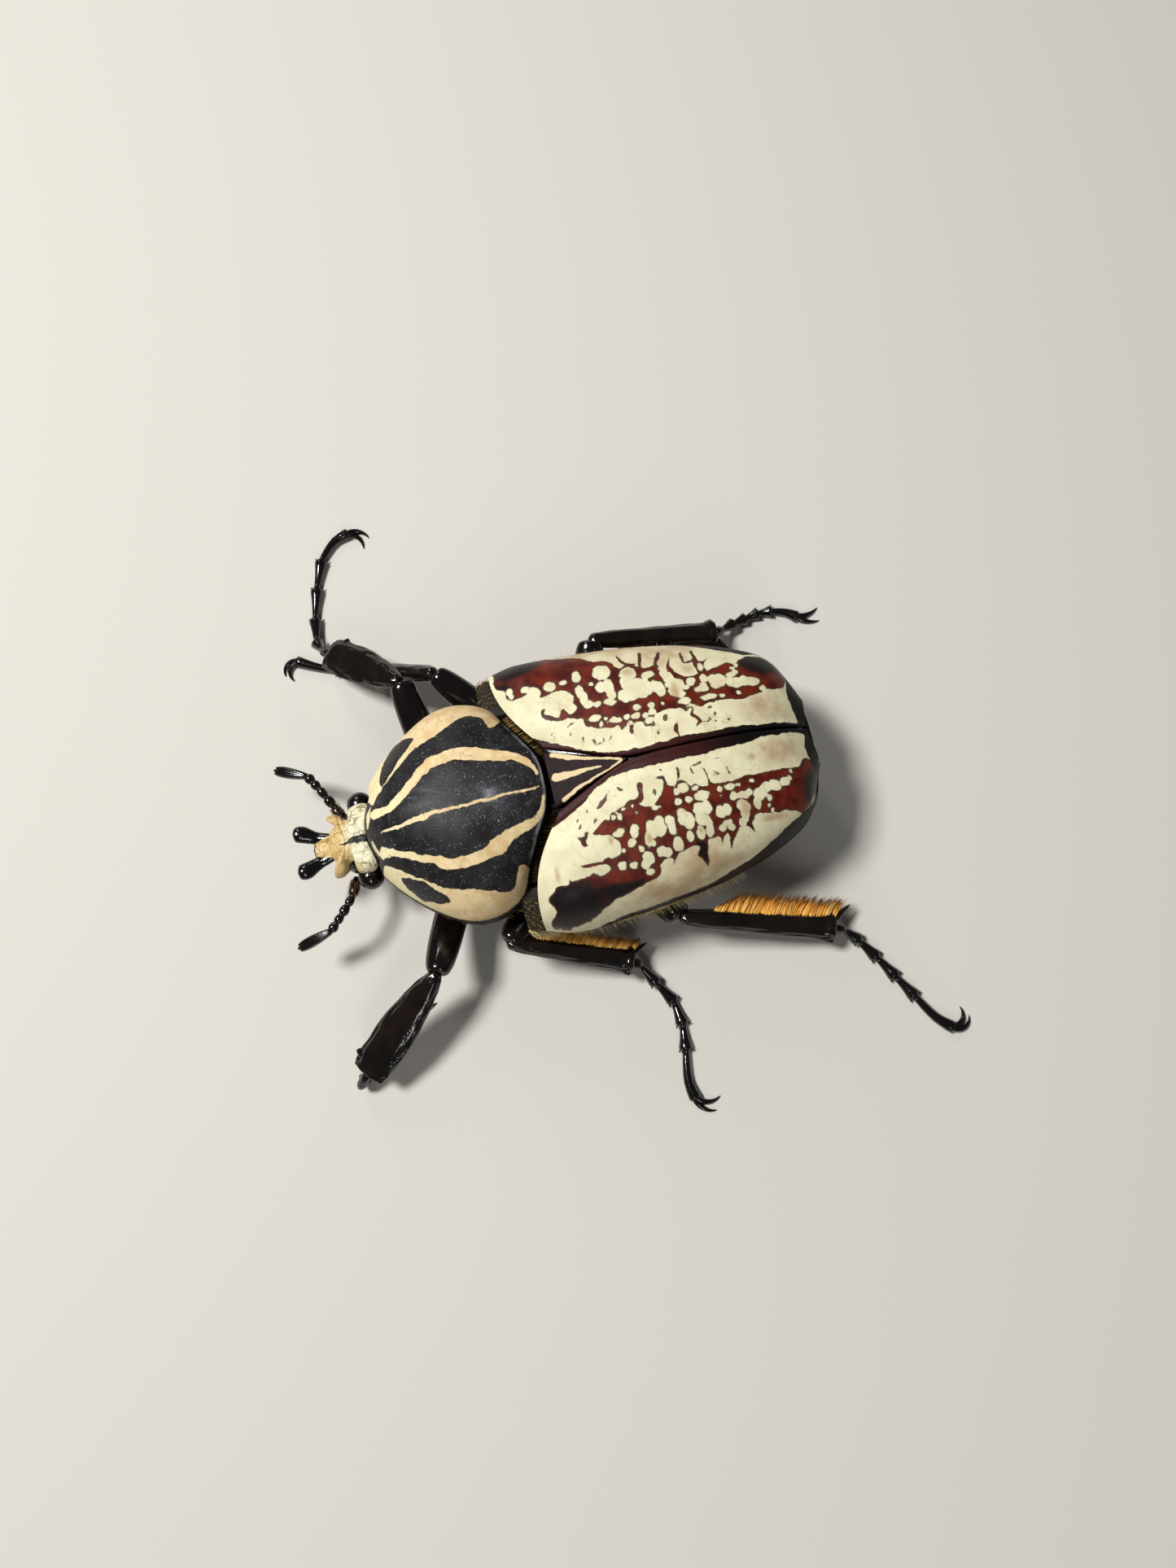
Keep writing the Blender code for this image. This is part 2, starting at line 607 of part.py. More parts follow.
def make_spurs(place, shin_way, fringe_way, length):
    """Two spurs on the fringed corner of a shin's end."""
    spurs = []
    for lean in SPUR_LEAN:
        way = (shin_way * lean + fringe_way).normalized()
        root = place + fringe_way * 0.2 - shin_way * (0.85 - 0.35 * lean)
        stations = [(*(root + way * reach * length), SPUR_RADIUS * size, SPUR_RADIUS * size)
                    for reach, size in ((0.0, 0.0), (0.03, 1.0), (0.6, 0.8), (1.0, 0.0))]
        spurs.append(limb("spur", stations, SPUR_SIDES, "black"))
    return spurs


def make_tooth(place, shin_way, side_way):
    """Blunt tooth on the outer corner of a front shin."""
    root = place - shin_way * TOOTH_BACK + side_way * TOOTH_OUT
    way = (side_way + shin_way * 0.3).normalized()
    stations = [(*(root + way * reach), size, size * 0.6) for reach, size in TOOTH_SHAPE]
    return limb("tooth", stations, CLAW_SIDES, "black")


def make_fringe(knee, ankle, fringe_way, length):
    """Row of flat tapered locks, rooted in the shin and leaning towards its end."""
    shin_way = (ankle - knee).normalized()
    locks = []
    for i in range(FRINGE_LOCKS):
        t = FRINGE_SPAN[0] + (FRINGE_SPAN[1] - FRINGE_SPAN[0]) * i / (FRINGE_LOCKS - 1)
        root = knee.lerp(ankle, t) + fringe_way * 0.35 + Vector((0.0, 0.0, 0.15))
        reach = 0.55 + length * (0.92 + 0.16 * math.sin(2.3 * i))
        stations = []
        for share, wide, thick in LOCK_SHAPE:
            way = (fringe_way + shin_way * (0.1 + 0.35 * share)).normalized()
            place = root + way * reach * share
            stations.append((*place, LOCK_HALF_WIDTH * wide, LOCK_HALF_THICK * thick))
        locks.append(limb("lock", stations, CLAW_SIDES, "orange"))
    return locks


def make_claw(root, way, turn, spread):
    """Hooked claw that turns by an angle along its length."""
    steps = 5
    heading = math.atan2(way.y, way.x) + math.radians(spread)
    place = root
    stations = [(*(root - way * 0.15), 0.0, 0.0)]
    for i in range(steps):
        size = CLAW_RADIUS * (1.0 - 0.7 * i / steps)
        stations.append((*place, size, size))
        heading += math.radians(turn) / steps
        place = place + Vector((math.cos(heading), math.sin(heading), -CLAW_DROP)) * CLAW_LENGTH / steps
    stations.append((*place, 0.0, 0.0))
    return limb("claw", stations, CLAW_SIDES, "black")


def make_foot(name, joints, claw_turn):
    """Foot of five joints, each flaring to its end, and two claws."""
    points = [Vector(joint) for joint in joints]
    first_way = (points[1] - points[0]).normalized()
    stations = [(*(points[0] - first_way * 0.1), 0.0, 0.0)]
    for start, end in list(zip(points, points[1:]))[:-2]:
        for t, size in FOOT_SHAPE:
            stations.append((*start.lerp(end, t), FOOT_RADIUS * size, FOOT_RADIUS * size))
    bend = [tuple(point) for point in points[-3:]]
    for t, size in LAST_JOINT_SHAPE:
        stations.append((*along_curve(bend, t), FOOT_RADIUS * size, FOOT_RADIUS * size))
    way = (points[-1] - Vector(along_curve(bend, 0.9))).normalized()
    stations.append((*(points[-1] + way * 0.1), 0.0, 0.0))
    foot = limb(name, stations, THIN_SIDES, "black", 0.5)
    root = points[-1] - way * 0.3
    fuse(foot, [make_claw(root, way, claw_turn, spread) for spread in (CLAW_SPREAD, -CLAW_SPREAD)])
    keep_above_floor(foot)
    return foot


def make_leg(which, trunk_pieces, shell_pieces):
    """Hip, thigh, shin and foot of one leg, each met face to face."""
    place = LEGS[which]
    row = which.split("_")[0]
    hip, knee, ankle = Vector(place["hip"]), Vector(place["knee"]), Vector(place["ankle"])
    side = 1.0 if hip.x > 0 else -1.0
    coxa_centre = (hip.x - side * 1.9, hip.y + 0.2, hip.z - 0.2)
    coxa = ball("coxa_" + which, coxa_centre, COXA_RADII[row], "black", 0.0, 12, 8)
    femur_wide, femur_thick = FEMUR_SIZE[row]
    stations = rounded(hip, knee, femur_wide, femur_thick, FEMUR_SHAPE)
    femur = limb("femur_" + which, stations, LEG_SIDES, "black")
    tibia_wide, tibia_thick = TIBIA_SIZE[row]
    shape = FRONT_TIBIA_SHAPE if row == "front" else TIBIA_SHAPE
    start = knee - (ankle - knee).normalized() * 0.2
    tibia = limb("tibia_" + which, rounded(start, ankle, tibia_wide, tibia_thick, shape), LEG_SIDES, "black")
    shin_way = (ankle - knee).normalized()
    side_way = shin_way.cross(Vector((0.0, 0.0, 1.0))).normalized()
    if row == "front":
        fuse(tibia, [make_tooth(ankle, shin_way, side_way)])
    else:
        fringe_way = side_way * -side
        tilt = math.radians(FRINGE_TILT[which])
        comb_way = fringe_way * math.cos(tilt) - Vector((0.0, 0.0, math.sin(tilt)))
        locks = make_fringe(knee, ankle, comb_way, FRINGE_LENGTH[row])
        fuse(tibia, locks + make_spurs(ankle, shin_way, fringe_way, SPUR_LENGTH[row]))
    foot = make_foot("tarsus_" + which, place["foot"], CLAW_TURN[which])
    clear_of(coxa, trunk_pieces)
    clear_of(femur, [coxa] + trunk_pieces + shell_pieces)
    clear_of(tibia, [femur])
    clear_of(foot, [tibia])


for leftover in list(bpy.data.objects):
    bpy.data.objects.remove(leftover)
parts = bpy.data.collections.new("goliath_beetle")
bpy.context.scene.collection.children.link(parts)
cutters = bpy.data.collections.new("cutters")
bpy.context.scene.collection.children.link(cutters)

pronotum = wrap("pronotum", pronotum_surface, 30, 14, "cream")
elytron_left = make_elytron("elytron_left", 1)
elytron_right = make_elytron("elytron_right", -1)
thorax = make_trunk("thorax", 0.02, 0.34, 5, "black")
abdomen = make_trunk("abdomen", 0.355, 0.97, 9, "black")
scutellum = make_scutellum()
mesepimeron_left = make_mesepimeron("mesepimeron_left", 1)
mesepimeron_right = make_mesepimeron("mesepimeron_right", -1)
pygidium = make_pygidium()

head = make_head()
eyes = []
for label, direction in (("left", 1), ("right", -1)):
    centre = yawed((direction * EYE_CENTRE[0], *EYE_CENTRE[1:]))
    eyes.append(ball("eye_" + label, centre, (EYE_RADIUS,) * 3, "maroon"))
horn = make_horn()
antenna_left = make_antenna("antenna_left", ANTENNA_LEFT, ANTENNA_LEFT_TIP)
antenna_right = make_antenna("antenna_right", ANTENNA_RIGHT, ANTENNA_RIGHT_TIP)

clear_of(head, [pronotum] + eyes)
for eye in eyes:
    clear_of(eye, [pronotum])
clear_of(horn, [head])
clear_of(antenna_left, [head])
clear_of(antenna_right, [head])
clear_of(thorax, [pronotum])
clear_of(scutellum, [elytron_left, elytron_right, pronotum])
clear_of(thorax, [scutellum])
for plate in (mesepimeron_left, mesepimeron_right):
    clear_of(plate, [pronotum, elytron_left, elytron_right, thorax])
clear_of(pygidium, [abdomen, elytron_left, elytron_right])

trunk = [pronotum, thorax, abdomen]
shell = [elytron_left, elytron_right, mesepimeron_left, mesepimeron_right]
for leg in LEGS:
    make_leg(leg, trunk, shell)

bpy.data.collections.remove(cutters)
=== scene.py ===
"""Goliath beetle, life size: shell plates, forked horn, feelers, jointed legs and their fringes of hair.

The forms repeat the solids' own shapes at a finer grain. Lengths are written in millimetres in the body's
own frame, whose y = 0 is the scutellum's front edge, and MM turns them to metres.
"""
import math
import random

import bmesh
import bpy
import numpy as np
from mathutils import Matrix, Vector, noise


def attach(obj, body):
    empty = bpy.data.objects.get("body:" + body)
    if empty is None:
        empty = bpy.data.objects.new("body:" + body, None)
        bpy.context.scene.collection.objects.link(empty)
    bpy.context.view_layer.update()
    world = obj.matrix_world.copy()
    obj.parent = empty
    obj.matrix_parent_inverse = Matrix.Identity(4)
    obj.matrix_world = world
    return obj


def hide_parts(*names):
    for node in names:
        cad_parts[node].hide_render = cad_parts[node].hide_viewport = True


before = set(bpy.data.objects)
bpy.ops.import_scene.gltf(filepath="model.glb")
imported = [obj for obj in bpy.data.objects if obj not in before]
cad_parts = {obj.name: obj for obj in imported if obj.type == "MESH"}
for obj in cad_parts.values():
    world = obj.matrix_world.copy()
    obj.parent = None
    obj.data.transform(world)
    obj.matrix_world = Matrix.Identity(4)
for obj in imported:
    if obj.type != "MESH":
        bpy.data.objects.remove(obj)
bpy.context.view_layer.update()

MM = 0.001
MERGE = 0.000002
UP = Vector((0.0, 0.0, 1.0))
# Where the body's own frame starts in the part's, in millimetres
BODY_X = 2.4
BODY_Y = -3.3
# A distance past every mark, a number too small to matter, and steps between two corners of a mark's edge
FAR = 100.0
TINY = 1e-9
CURVE_STEPS = 4

# Columns and rows of the plates' grids
PRONOTUM_GRID = (360, 220)
ELYTRON_GRID = (130, 220)
SCUTELLUM_GRID = (90, 110)
HEAD_GRID = (240, 96)
PYGIDIUM_GRID = (80, 36)
BALL_GRID = (48, 32)
TRUNK_COLUMNS = 96

# Rounding of the main forms: 2 is an ellipse, more is squarer, less is sharper
ELYTRON_POWER = 2.35
BELLY_POWER = 1.5
PRONOTUM_POWER = 2.3
CHEST_POWER = 1.25
CHEST_END_POWER = 3.0

ELYTRON_WALL = 0.6
ELYTRON_GIRTH = 14.0
ELYTRON_SETBACK = 0.14
ELYTRON_WAVE = 0.04
ELYTRON_WAVES = 7.0
# Folds along a wing case's inner and outer edges: height, distance from the edge and half width
INNER_FOLDS = ((0.12, 0.0, 0.28), (-0.05, 0.75, 0.3))
OUTER_FOLDS = ((0.12, 0.0, 0.3), (-0.09, 0.8, 0.35))
# Swellings at its shoulder and near its tip: height, place, half width and half length
ELYTRON_BOSSES = ((0.3, 10.9, -0.6, 1.5, 2.2), (0.25, 6.6, 21.3, 1.6, 1.8))
# Unevenness of its face: height and spacing
SHELL_GRAIN = ((0.02, 1.4), (0.006, 0.35))
SHELL_INSET = 1.0
SHOULDER_BULGE = 1.1
PROTHORAX_YAW = 1.7
TRUNK_FRONT = 1.2
TRUNK_TAIL_INSET = 0.4
TRUNK_RIM_DROP = 0.2
# Folds between the belly plates: place and half width as shares of a plate, depth as a share of the trunk
FOLD_PLACE = 0.96
FOLD_WIDTH = 0.12
FOLD_DEPTH = 0.022

SCUTELLUM_FRONT = 0.35
SCUTELLUM_TIP = 7.7
SCUTELLUM_HALF_WIDTH = 2.75
SCUTELLUM_HEIGHT = 16.75
SCUTELLUM_THICK = 0.8
SCUTELLUM_SLOPE = 0.14
SCUTELLUM_CURVE = 0.02
SCUTELLUM_EDGE = 0.12

MESEPIMERON_CORNERS = {
    (-1, -1): (8.4, -5.2), (1, -1): (12.5, -4.9), (1, 1): (12.9, -2.9), (-1, 1): (8.4, -1.2),
}
MESEPIMERON_HEIGHTS = (7.4, 11.8)
MESEPIMERON_SLOPE = 0.9
MESEPIMERON_EDGE = 0.45

PYGIDIUM_CENTRE = (0.0, 23.7, 8.7)
PYGIDIUM_RADII = (7.4, 3.1, 0.75)
PYGIDIUM_SLOPE = 38.0

# Inner edge of the left elytron, from the scutellum's corner along the suture to the tip
ELYTRON_CREST = (
    (3.1, 0.5, 16.5), (1.75, 3.7, 17.4), (0.4, 7.2, 18.0), (0.16, 10.2, 18.3), (0.16, 13.4, 18.2),
    (0.16, 16.6, 17.7), (0.16, 19.6, 16.8), (0.16, 22.4, 15.3), (0.16, 25.0, 13.0),
)
ELYTRON_EDGE = (
    (12.7, -3.3, 11.0), (13.4, -0.8, 10.0), (13.4, 3.2, 9.4), (13.1, 7.4, 9.2), (12.5, 11.6, 9.2),
    (11.6, 15.8, 9.3), (10.3, 19.8, 9.6), (8.0, 23.5, 10.1), (3.3, 25.7, 11.0),
)
BELLY = (
    (0.0, 1.2, 3.7), (0.0, 2.5, 3.4), (0.0, 5.0, 3.3), (0.0, 8.0, 3.4), (0.0, 11.2, 3.6),
    (0.0, 14.4, 4.0), (0.0, 17.4, 4.7), (0.0, 20.0, 5.9), (0.0, 22.6, 7.6),
)
PRONOTUM_RIM = (
    (0.0, -18.05, 11.2), (1.7, -17.8, 10.6), (3.1, -17.4, 9.7), (4.3, -17.4, 9.0), (5.6, -16.5, 8.8),
    (7.1, -15.1, 8.7), (8.7, -13.2, 8.6),
    (10.2, -10.8, 8.6), (10.8, -8.4, 8.8), (10.4, -6.0, 9.2), (9.2, -4.1, 10.0), (7.0, -2.9, 12.8),
    (4.6, -1.5, 15.2), (2.4, -0.3, 16.3), (0.0, 0.0, 16.6),
)
PRONOTUM_TOP = (0.0, -7.6, 17.7)
PRONOTUM_BASE = (0.0, -9.0, 4.6)

HEAD_RIM = (
    (0.0, -18.45, 10.1), (1.5, -18.2, 9.9), (2.7, -17.85, 9.4), (3.35, -18.2, 8.9), (3.5, -19.0, 8.6),
    (3.3, -19.85, 8.4), (2.8, -20.1, 8.3), (2.25, -20.05, 8.4), (2.35, -20.75, 8.1), (2.9, -21.2, 7.8),
    (3.2, -21.8, 7.5), (3.1, -22.55, 7.2), (2.65, -22.5, 7.3), (2.25, -21.75, 7.6), (1.75, -21.95, 7.65),
    (1.3, -22.4, 7.7), (0.0, -22.55, 7.9),
)
HEAD_TOP = (0.0, -19.8, 10.3)
HEAD_PLATE_THICK = 1.1
HEAD_HOLLOW = 1.2
HEAD_MIDDLE = -0.56
HEAD_BROW = -20.35
HEAD_BROW_DEPTH = 0.2
# Forms on the plate: height, place and half sizes, first one in the middle and then a pair on the two sides
HEAD_GROOVE = (-0.22, 0.2, -19.6, 0.2, 1.3)
HEAD_SIDES = ((0.14, 2.9, -18.9, 0.6, 0.8), (-0.2, 1.7, -18.9, 0.18, 0.7))
# Lumps on it: height, level in the noise and spacing
HEAD_LUMPS = ((0.07, 0.0, 0.8), (0.03, 5.0, 0.3))
HEAD_CAPSULE = (0.0, -19.4, 7.2)
HEAD_CAPSULE_RADII = (3.3, 2.9, 2.5)

EYE_CENTRE = (3.7, -19.1, 7.4)
EYE_RADIUS = 1.28

HORN_STEM = (
    (0.0, -21.5, 7.7, 0.0, 0.0), (0.0, -21.6, 7.7, 1.5, 0.4), (0.0, -22.6, 7.5, 1.2, 0.4),
    (0.0, -23.4, 7.35, 1.15, 0.4), (0.0, -24.1, 7.3, 1.0, 0.36), (0.0, -24.4, 7.3, 0.0, 0.0),
)
# Half width of the stem's tan part by place before the scutellum, and the front end of that part
HORN_STEM_EDGE = ((22.2, 1.3), (23.0, 0.95), (23.8, 0.75), (24.2, 0.6))
HORN_STEM_FRONT = -24.15
HORN_FORK = (
    (0.85, -22.3, 7.6, 0.0, 0.0), (0.9, -22.5, 7.55, 0.45, 0.4), (1.05, -23.2, 7.45, 0.58, 0.45),
    (1.25, -23.9, 7.4, 0.62, 0.5), (1.55, -24.6, 7.5, 0.74, 0.6), (1.85, -25.25, 7.65, 0.85, 0.7),
    (1.9, -25.9, 7.8, 0.68, 0.55), (1.9, -26.15, 7.85, 0.0, 0.0),
)

ANTENNA_LEFT = ((2.6, -20.9, 6.0), (4.4, -21.6, 6.4), (6.0, -22.9, 6.7), (7.3, -24.3, 6.5))
ANTENNA_LEFT_TIP = (8.2, -28.0, 5.9)
ANTENNA_RIGHT = ((-3.0, -21.0, 6.0), (-5.0, -21.8, 6.4), (-7.1, -22.9, 6.7), (-8.7, -23.9, 6.5))
ANTENNA_RIGHT_TIP = (-10.3, -27.3, 6.0)
SCAPE_RADIUS = 0.5
BEAD_RADIUS = 0.44
# Places along one bead of a feeler, with its share of the radius
BEAD_SHAPE = ((0.06, 0.74), (0.25, 0.95), (0.5, 1.1), (0.75, 1.08), (0.9, 0.9), (0.98, 0.7))
LEAF_SHAPE = (
    (0.0, 0.0), (0.04, 0.8), (0.2, 1.0), (0.5, 1.05), (0.75, 0.95), (0.9, 0.7), (0.98, 0.4), (1.0, 0.0),
)
LEAF_RADII = (0.3, 0.5)
LEAF_STEP = 0.3
SCAPE_TUFTS = 70

LEGS = {
    "front_left": {
        "hip": (5.2, -11.3, 3.8), "knee": (13.9, -14.7, 7.6), "ankle": (21.5, -24.1, 3.5),
        "foot": ((22.5, -25.4, 1.6), (21.7, -25.0, 0.5), (20.5, -23.7, 0.46), (19.3, -22.3, 0.46),
                 (18.3, -21.0, 0.46), (17.5, -20.0, 0.46), (16.8, -19.0, 0.46)),
    },
    "front_right": {
        "hip": (-5.2, -10.9, 3.8), "knee": (-15.9, -12.6, 7.6), "ankle": (-22.5, -20.0, 3.3),
        "foot": ((-23.3, -20.9, 2.2), (-24.9, -21.6, 1.0), (-27.9, -21.4, 0.46), (-31.4, -20.6, 0.46),
                 (-34.6, -19.5, 0.46), (-36.4, -17.8, 0.46), (-37.1, -15.9, 0.46)),
    },
    "middle_left": {
        "hip": (5.2, 0.2, 3.6), "knee": (12.5, -7.4, 7.2), "ankle": (16.7, 4.0, 2.6),
        "foot": ((17.3, 4.5, 1.9), (19.3, 5.7, 0.8), (21.5, 7.0, 0.46), (23.9, 7.3, 0.46),
                 (26.4, 7.0, 0.46), (29.2, 6.5, 0.46), (31.2, 6.8, 0.46)),
    },
    "middle_right": {
        "hip": (-5.2, 0.2, 3.6), "knee": (-15.7, -8.9, 8.0), "ankle": (-19.5, -16.2, 2.2),
        "foot": ((-19.9, -16.9, 1.6), (-20.4, -17.7, 0.8), (-20.9, -18.5, 0.46), (-21.2, -19.3, 0.46),
                 (-21.4, -20.1, 0.46), (-22.5, -22.4, 0.46), (-23.6, -24.3, 0.46)),
    },
    "hind_left": {
        "hip": (5.6, 5.2, 3.6), "knee": (14.0, 9.4, 7.0), "ankle": (18.2, 24.3, 2.7),
        "foot": ((18.5, 25.2, 1.9), (19.8, 26.5, 0.8), (21.9, 27.9, 0.46), (24.2, 29.2, 0.46),
                 (26.5, 30.5, 0.46), (28.8, 31.8, 0.46), (30.3, 33.3, 0.46)),
    },
    "hind_right": {
        "hip": (-5.6, 4.8, 3.6), "knee": (-15.5, 7.3, 7.4), "ankle": (-14.6, 20.6, 2.9),
        "foot": ((-15.1, 21.4, 2.0), (-15.8, 22.9, 1.1), (-16.2, 24.4, 0.6), (-16.5, 25.9, 0.46),
                 (-16.4, 27.4, 0.46), (-15.9, 28.8, 0.46), (-15.1, 29.9, 0.46)),
    },
}
FEMUR_SIZE = {"front": (1.65, 1.15), "middle": (1.6, 1.15), "hind": (1.75, 1.15)}
TIBIA_SIZE = {"front": (1.9, 0.75), "middle": (1.08, 0.85), "hind": (1.1, 0.85)}
COXA_INSET = (1.9, 0.2, 0.2)
COXA_RADII = {"front": (2.6, 1.6, 1.5), "middle": (2.5, 1.8, 1.3), "hind": (3.2, 2.1, 1.2)}
FEMUR_SHAPE = (
    (0.0, 0.0, 0.0), (0.01, 0.45, 0.5), (0.1, 0.8, 0.85), (0.3, 1.0, 1.0), (0.6, 1.0, 1.0),
    (0.85, 0.88, 0.92), (0.97, 0.68, 0.78), (1.0, 0.36, 0.42), (1.01, 0.0, 0.0),
)
FRONT_TIBIA_SHAPE = (
    (0.0, 0.0, 0.0), (0.02, 0.3, 0.7), (0.12, 0.55, 1.0), (0.3, 0.8, 1.0), (0.55, 1.0, 1.0),
    (0.82, 1.0, 0.95), (0.96, 0.9, 0.8), (0.995, 0.7, 0.55), (1.0, 0.0, 0.0),
)
TIBIA_SHAPE = (
    (0.0, 0.0, 0.0), (0.02, 0.5, 0.6), (0.08, 0.74, 0.88), (0.3, 0.9, 0.92), (0.6, 1.02, 0.92),
    (0.88, 1.12, 1.0), (0.95, 1.36, 1.15), (0.985, 1.22, 1.05), (1.0, 0.0, 0.0),
)
TOOTH_SHAPE = ((0.0, 0.0), (0.05, 0.75), (0.7, 0.6), (1.2, 0.3), (1.45, 0.0))
TOOTH_BACK = 1.7
TOOTH_OUT = 0.9
FOOT_RADIUS = 0.58
SOCKET_SHAPE = ((0.05, 0.7), (0.5, 0.85), (0.8, 0.95), (0.92, 0.8))
FOOT_SHAPE = ((0.04, 0.58), (0.25, 0.66), (0.5, 0.8), (0.72, 1.0), (0.88, 1.18), (0.96, 1.1))
LAST_JOINT_SHAPE = (
    (0.02, 0.58), (0.12, 0.62), (0.25, 0.68), (0.4, 0.74), (0.55, 0.82), (0.7, 0.92), (0.85, 1.04),
    (0.96, 1.06),
)
CLAW_LENGTH = 2.9
CLAW_RADIUS = 0.36
CLAW_SPREAD = 16.0
CLAW_DROP = 0.13
CLAW_STEPS = 12
CLAW_TURN = {
    "front_left": 0.0, "front_right": -100.0, "middle_left": 95.0, "middle_right": 150.0,
    "hind_left": 140.0, "hind_right": 60.0,
}
SPUR_LENGTH = {"middle": 2.3, "hind": 2.9}
SPUR_RADIUS = 0.38
SPUR_LEAN = (0.35, 0.8)

# How far each comb is turned down from level, in degrees
FRINGE_TILT = {"middle_left": 0.0, "middle_right": 55.0, "hind_left": 0.0, "hind_right": 35.0}
FRINGE_SPAN = (0.2, 0.97)
FRINGE_LENGTH = {"middle": 1.75, "hind": 2.55}
FRINGE_TUFTS = {"middle": 620, "hind": 900}
FRINGE_RADIUS = 0.065
HAIR_RADIUS = 0.045
SHOULDER_TUFTS = 90
SHOULDER_FRINGE_TUFTS = 150
# Places along a spine or spur from root to tip, with its share of the radius
SPINE_SHAPE = ((0.0, 0.0), (0.03, 1.0), (0.3, 0.95), (0.6, 0.75), (0.85, 0.4), (1.0, 0.0))
SPINE_LENGTH = 0.42
SPINE_RADIUS = 0.11
# Where a tuft narrows, the shares of its length at its seven corners, and half the size of its patch
TUFT_WAIST = 0.55
TUFT_RUN = (0.0, 0.0, 0.0, TUFT_WAIST, TUFT_WAIST, TUFT_WAIST, 1.0)
PATCH_REACH = 0.0015
# Height and roughness of a shin's ridges, as shares of its radius
SHIN_RIDGE = 0.035
SHIN_ROUGHNESS = 0.07

# How far noise moves the marks' edges, and its spacing
ELYTRON_SWAY = ((0.16, 0.75), (0.07, 0.27))
PRONOTUM_SWAY = ((0.16, 0.8), (0.07, 0.3))
SCUTELLUM_SWAY = ((0.1, 0.6),)
HEAD_SWAY = ((0.2, 0.6),)
# Share of that sway in the outer margin, which is a steadier line
MARGIN_SWAY = 0.2
# Width of the shell tucked under outside that line, by place behind the front
TUCKED_EDGE = ((1.0, 2.0), (3.0, 0.2), (13.0, 0.25), (16.0, 2.0))
RED_BAND_END = 18.0
# Highest value of the field of stains and painted shade
STAIN_AND_SHADE_CORE = 1.2
RIM_WIDTH = 0.16
# Oval in the pronotum's middle with grey dust and a painted bluish sheen: centre, half width and half length
DUST_AND_SHEEN_OVAL = (0.6, -5.2, 4.6, 4.4)
TAN_FRONT = -20.6

# Camera where the picture was taken from: nearly overhead, the beetle's head to the left
CAMERA_PLACE = (26.83, 0.39, 117.03)
CAMERA_RIGHT = (0.2275, 0.9724, -0.0525)
CAMERA_AHEAD = (-0.225, 0.0, -0.9744)
FOCAL_PIXELS = 1391.5
FRAME_HEIGHT = 1927
SENSOR_HEIGHT = 36.0
LIGHT_TARGET = (0.0, 0.0, 0.01)
FLOOR_HALF_SIZE = 1.5
WORLD_STRENGTH = 0.1

# Inner dark band along the scutellum and suture: place behind the front, and its boundary from the midline
INNER_BAND = {
    -1: ((-1.5, 5.2), (-0.3, 4.25), (0.5, 3.75), (1.3, 3.3), (2.0, 2.95), (2.6, 2.6), (3.3, 2.2), (4.1, 1.7),
         (5.0, 1.3), (6.0, 0.95), (7.2, 0.62), (9.0, 0.55), (11.0, 0.55), (13.0, 0.7), (15.0, 0.62),
         (17.0, 0.66), (19.0, 0.55), (24.0, 0.45)),
    1: ((-1.5, 4.9), (-0.3, 4.4), (0.5, 4.1), (1.8, 3.6), (3.0, 2.9), (4.0, 2.2), (5.0, 1.7), (6.0, 1.4),
        (7.5, 1.25), (10.0, 1.28), (12.0, 1.38), (14.0, 1.3), (16.0, 1.15), (19.0, 0.98), (20.0, 0.75),
        (22.0, 0.6), (23.0, 0.5), (24.3, 0.7)),
}
# Black outer margin, at the rear painted wider than the real margin as a painted shadow beside the shell:
# place behind the front, and its inner boundary from the midline
OUTER_MARGIN_AND_SHADOW = {
    -1: ((-4.0, 14.5), (1.0, 13.5), (3.0, 13.0), (10.0, 12.3), (13.5, 11.6), (15.0, 11.0), (16.0, 10.4),
         (17.0, 9.9), (18.0, 9.4), (19.0, 8.9), (20.0, 8.5), (21.0, 8.0), (22.0, 8.1), (23.0, 7.7),
         (26.0, 5.5)),
    1: ((-4.0, 14.5), (1.0, 13.5), (4.0, 13.05), (7.0, 12.85), (10.0, 12.45), (12.0, 12.15), (13.0, 11.95),
        (14.0, 11.65), (15.5, 11.2), (17.0, 10.7), (18.0, 10.25), (19.0, 9.75), (20.0, 9.2), (21.0, 8.65),
        (22.0, 8.1), (23.0, 7.5), (26.0, 5.3)),
}
# Black tip: place from the midline, and how far back the cream ends there
APEX = {
    -1: ((0.0, 24.0), (0.6, 24.2), (2.0, 23.9), (3.3, 23.8), (4.5, 24.2), (5.6, 24.2), (7.2, 23.4),
         (9.0, 22.0)),
    1: ((0.0, 24.2), (0.9, 24.5), (2.0, 24.1), (3.3, 24.3), (5.0, 24.8), (6.5, 24.2), (8.0, 23.0),
        (9.5, 21.5)),
}
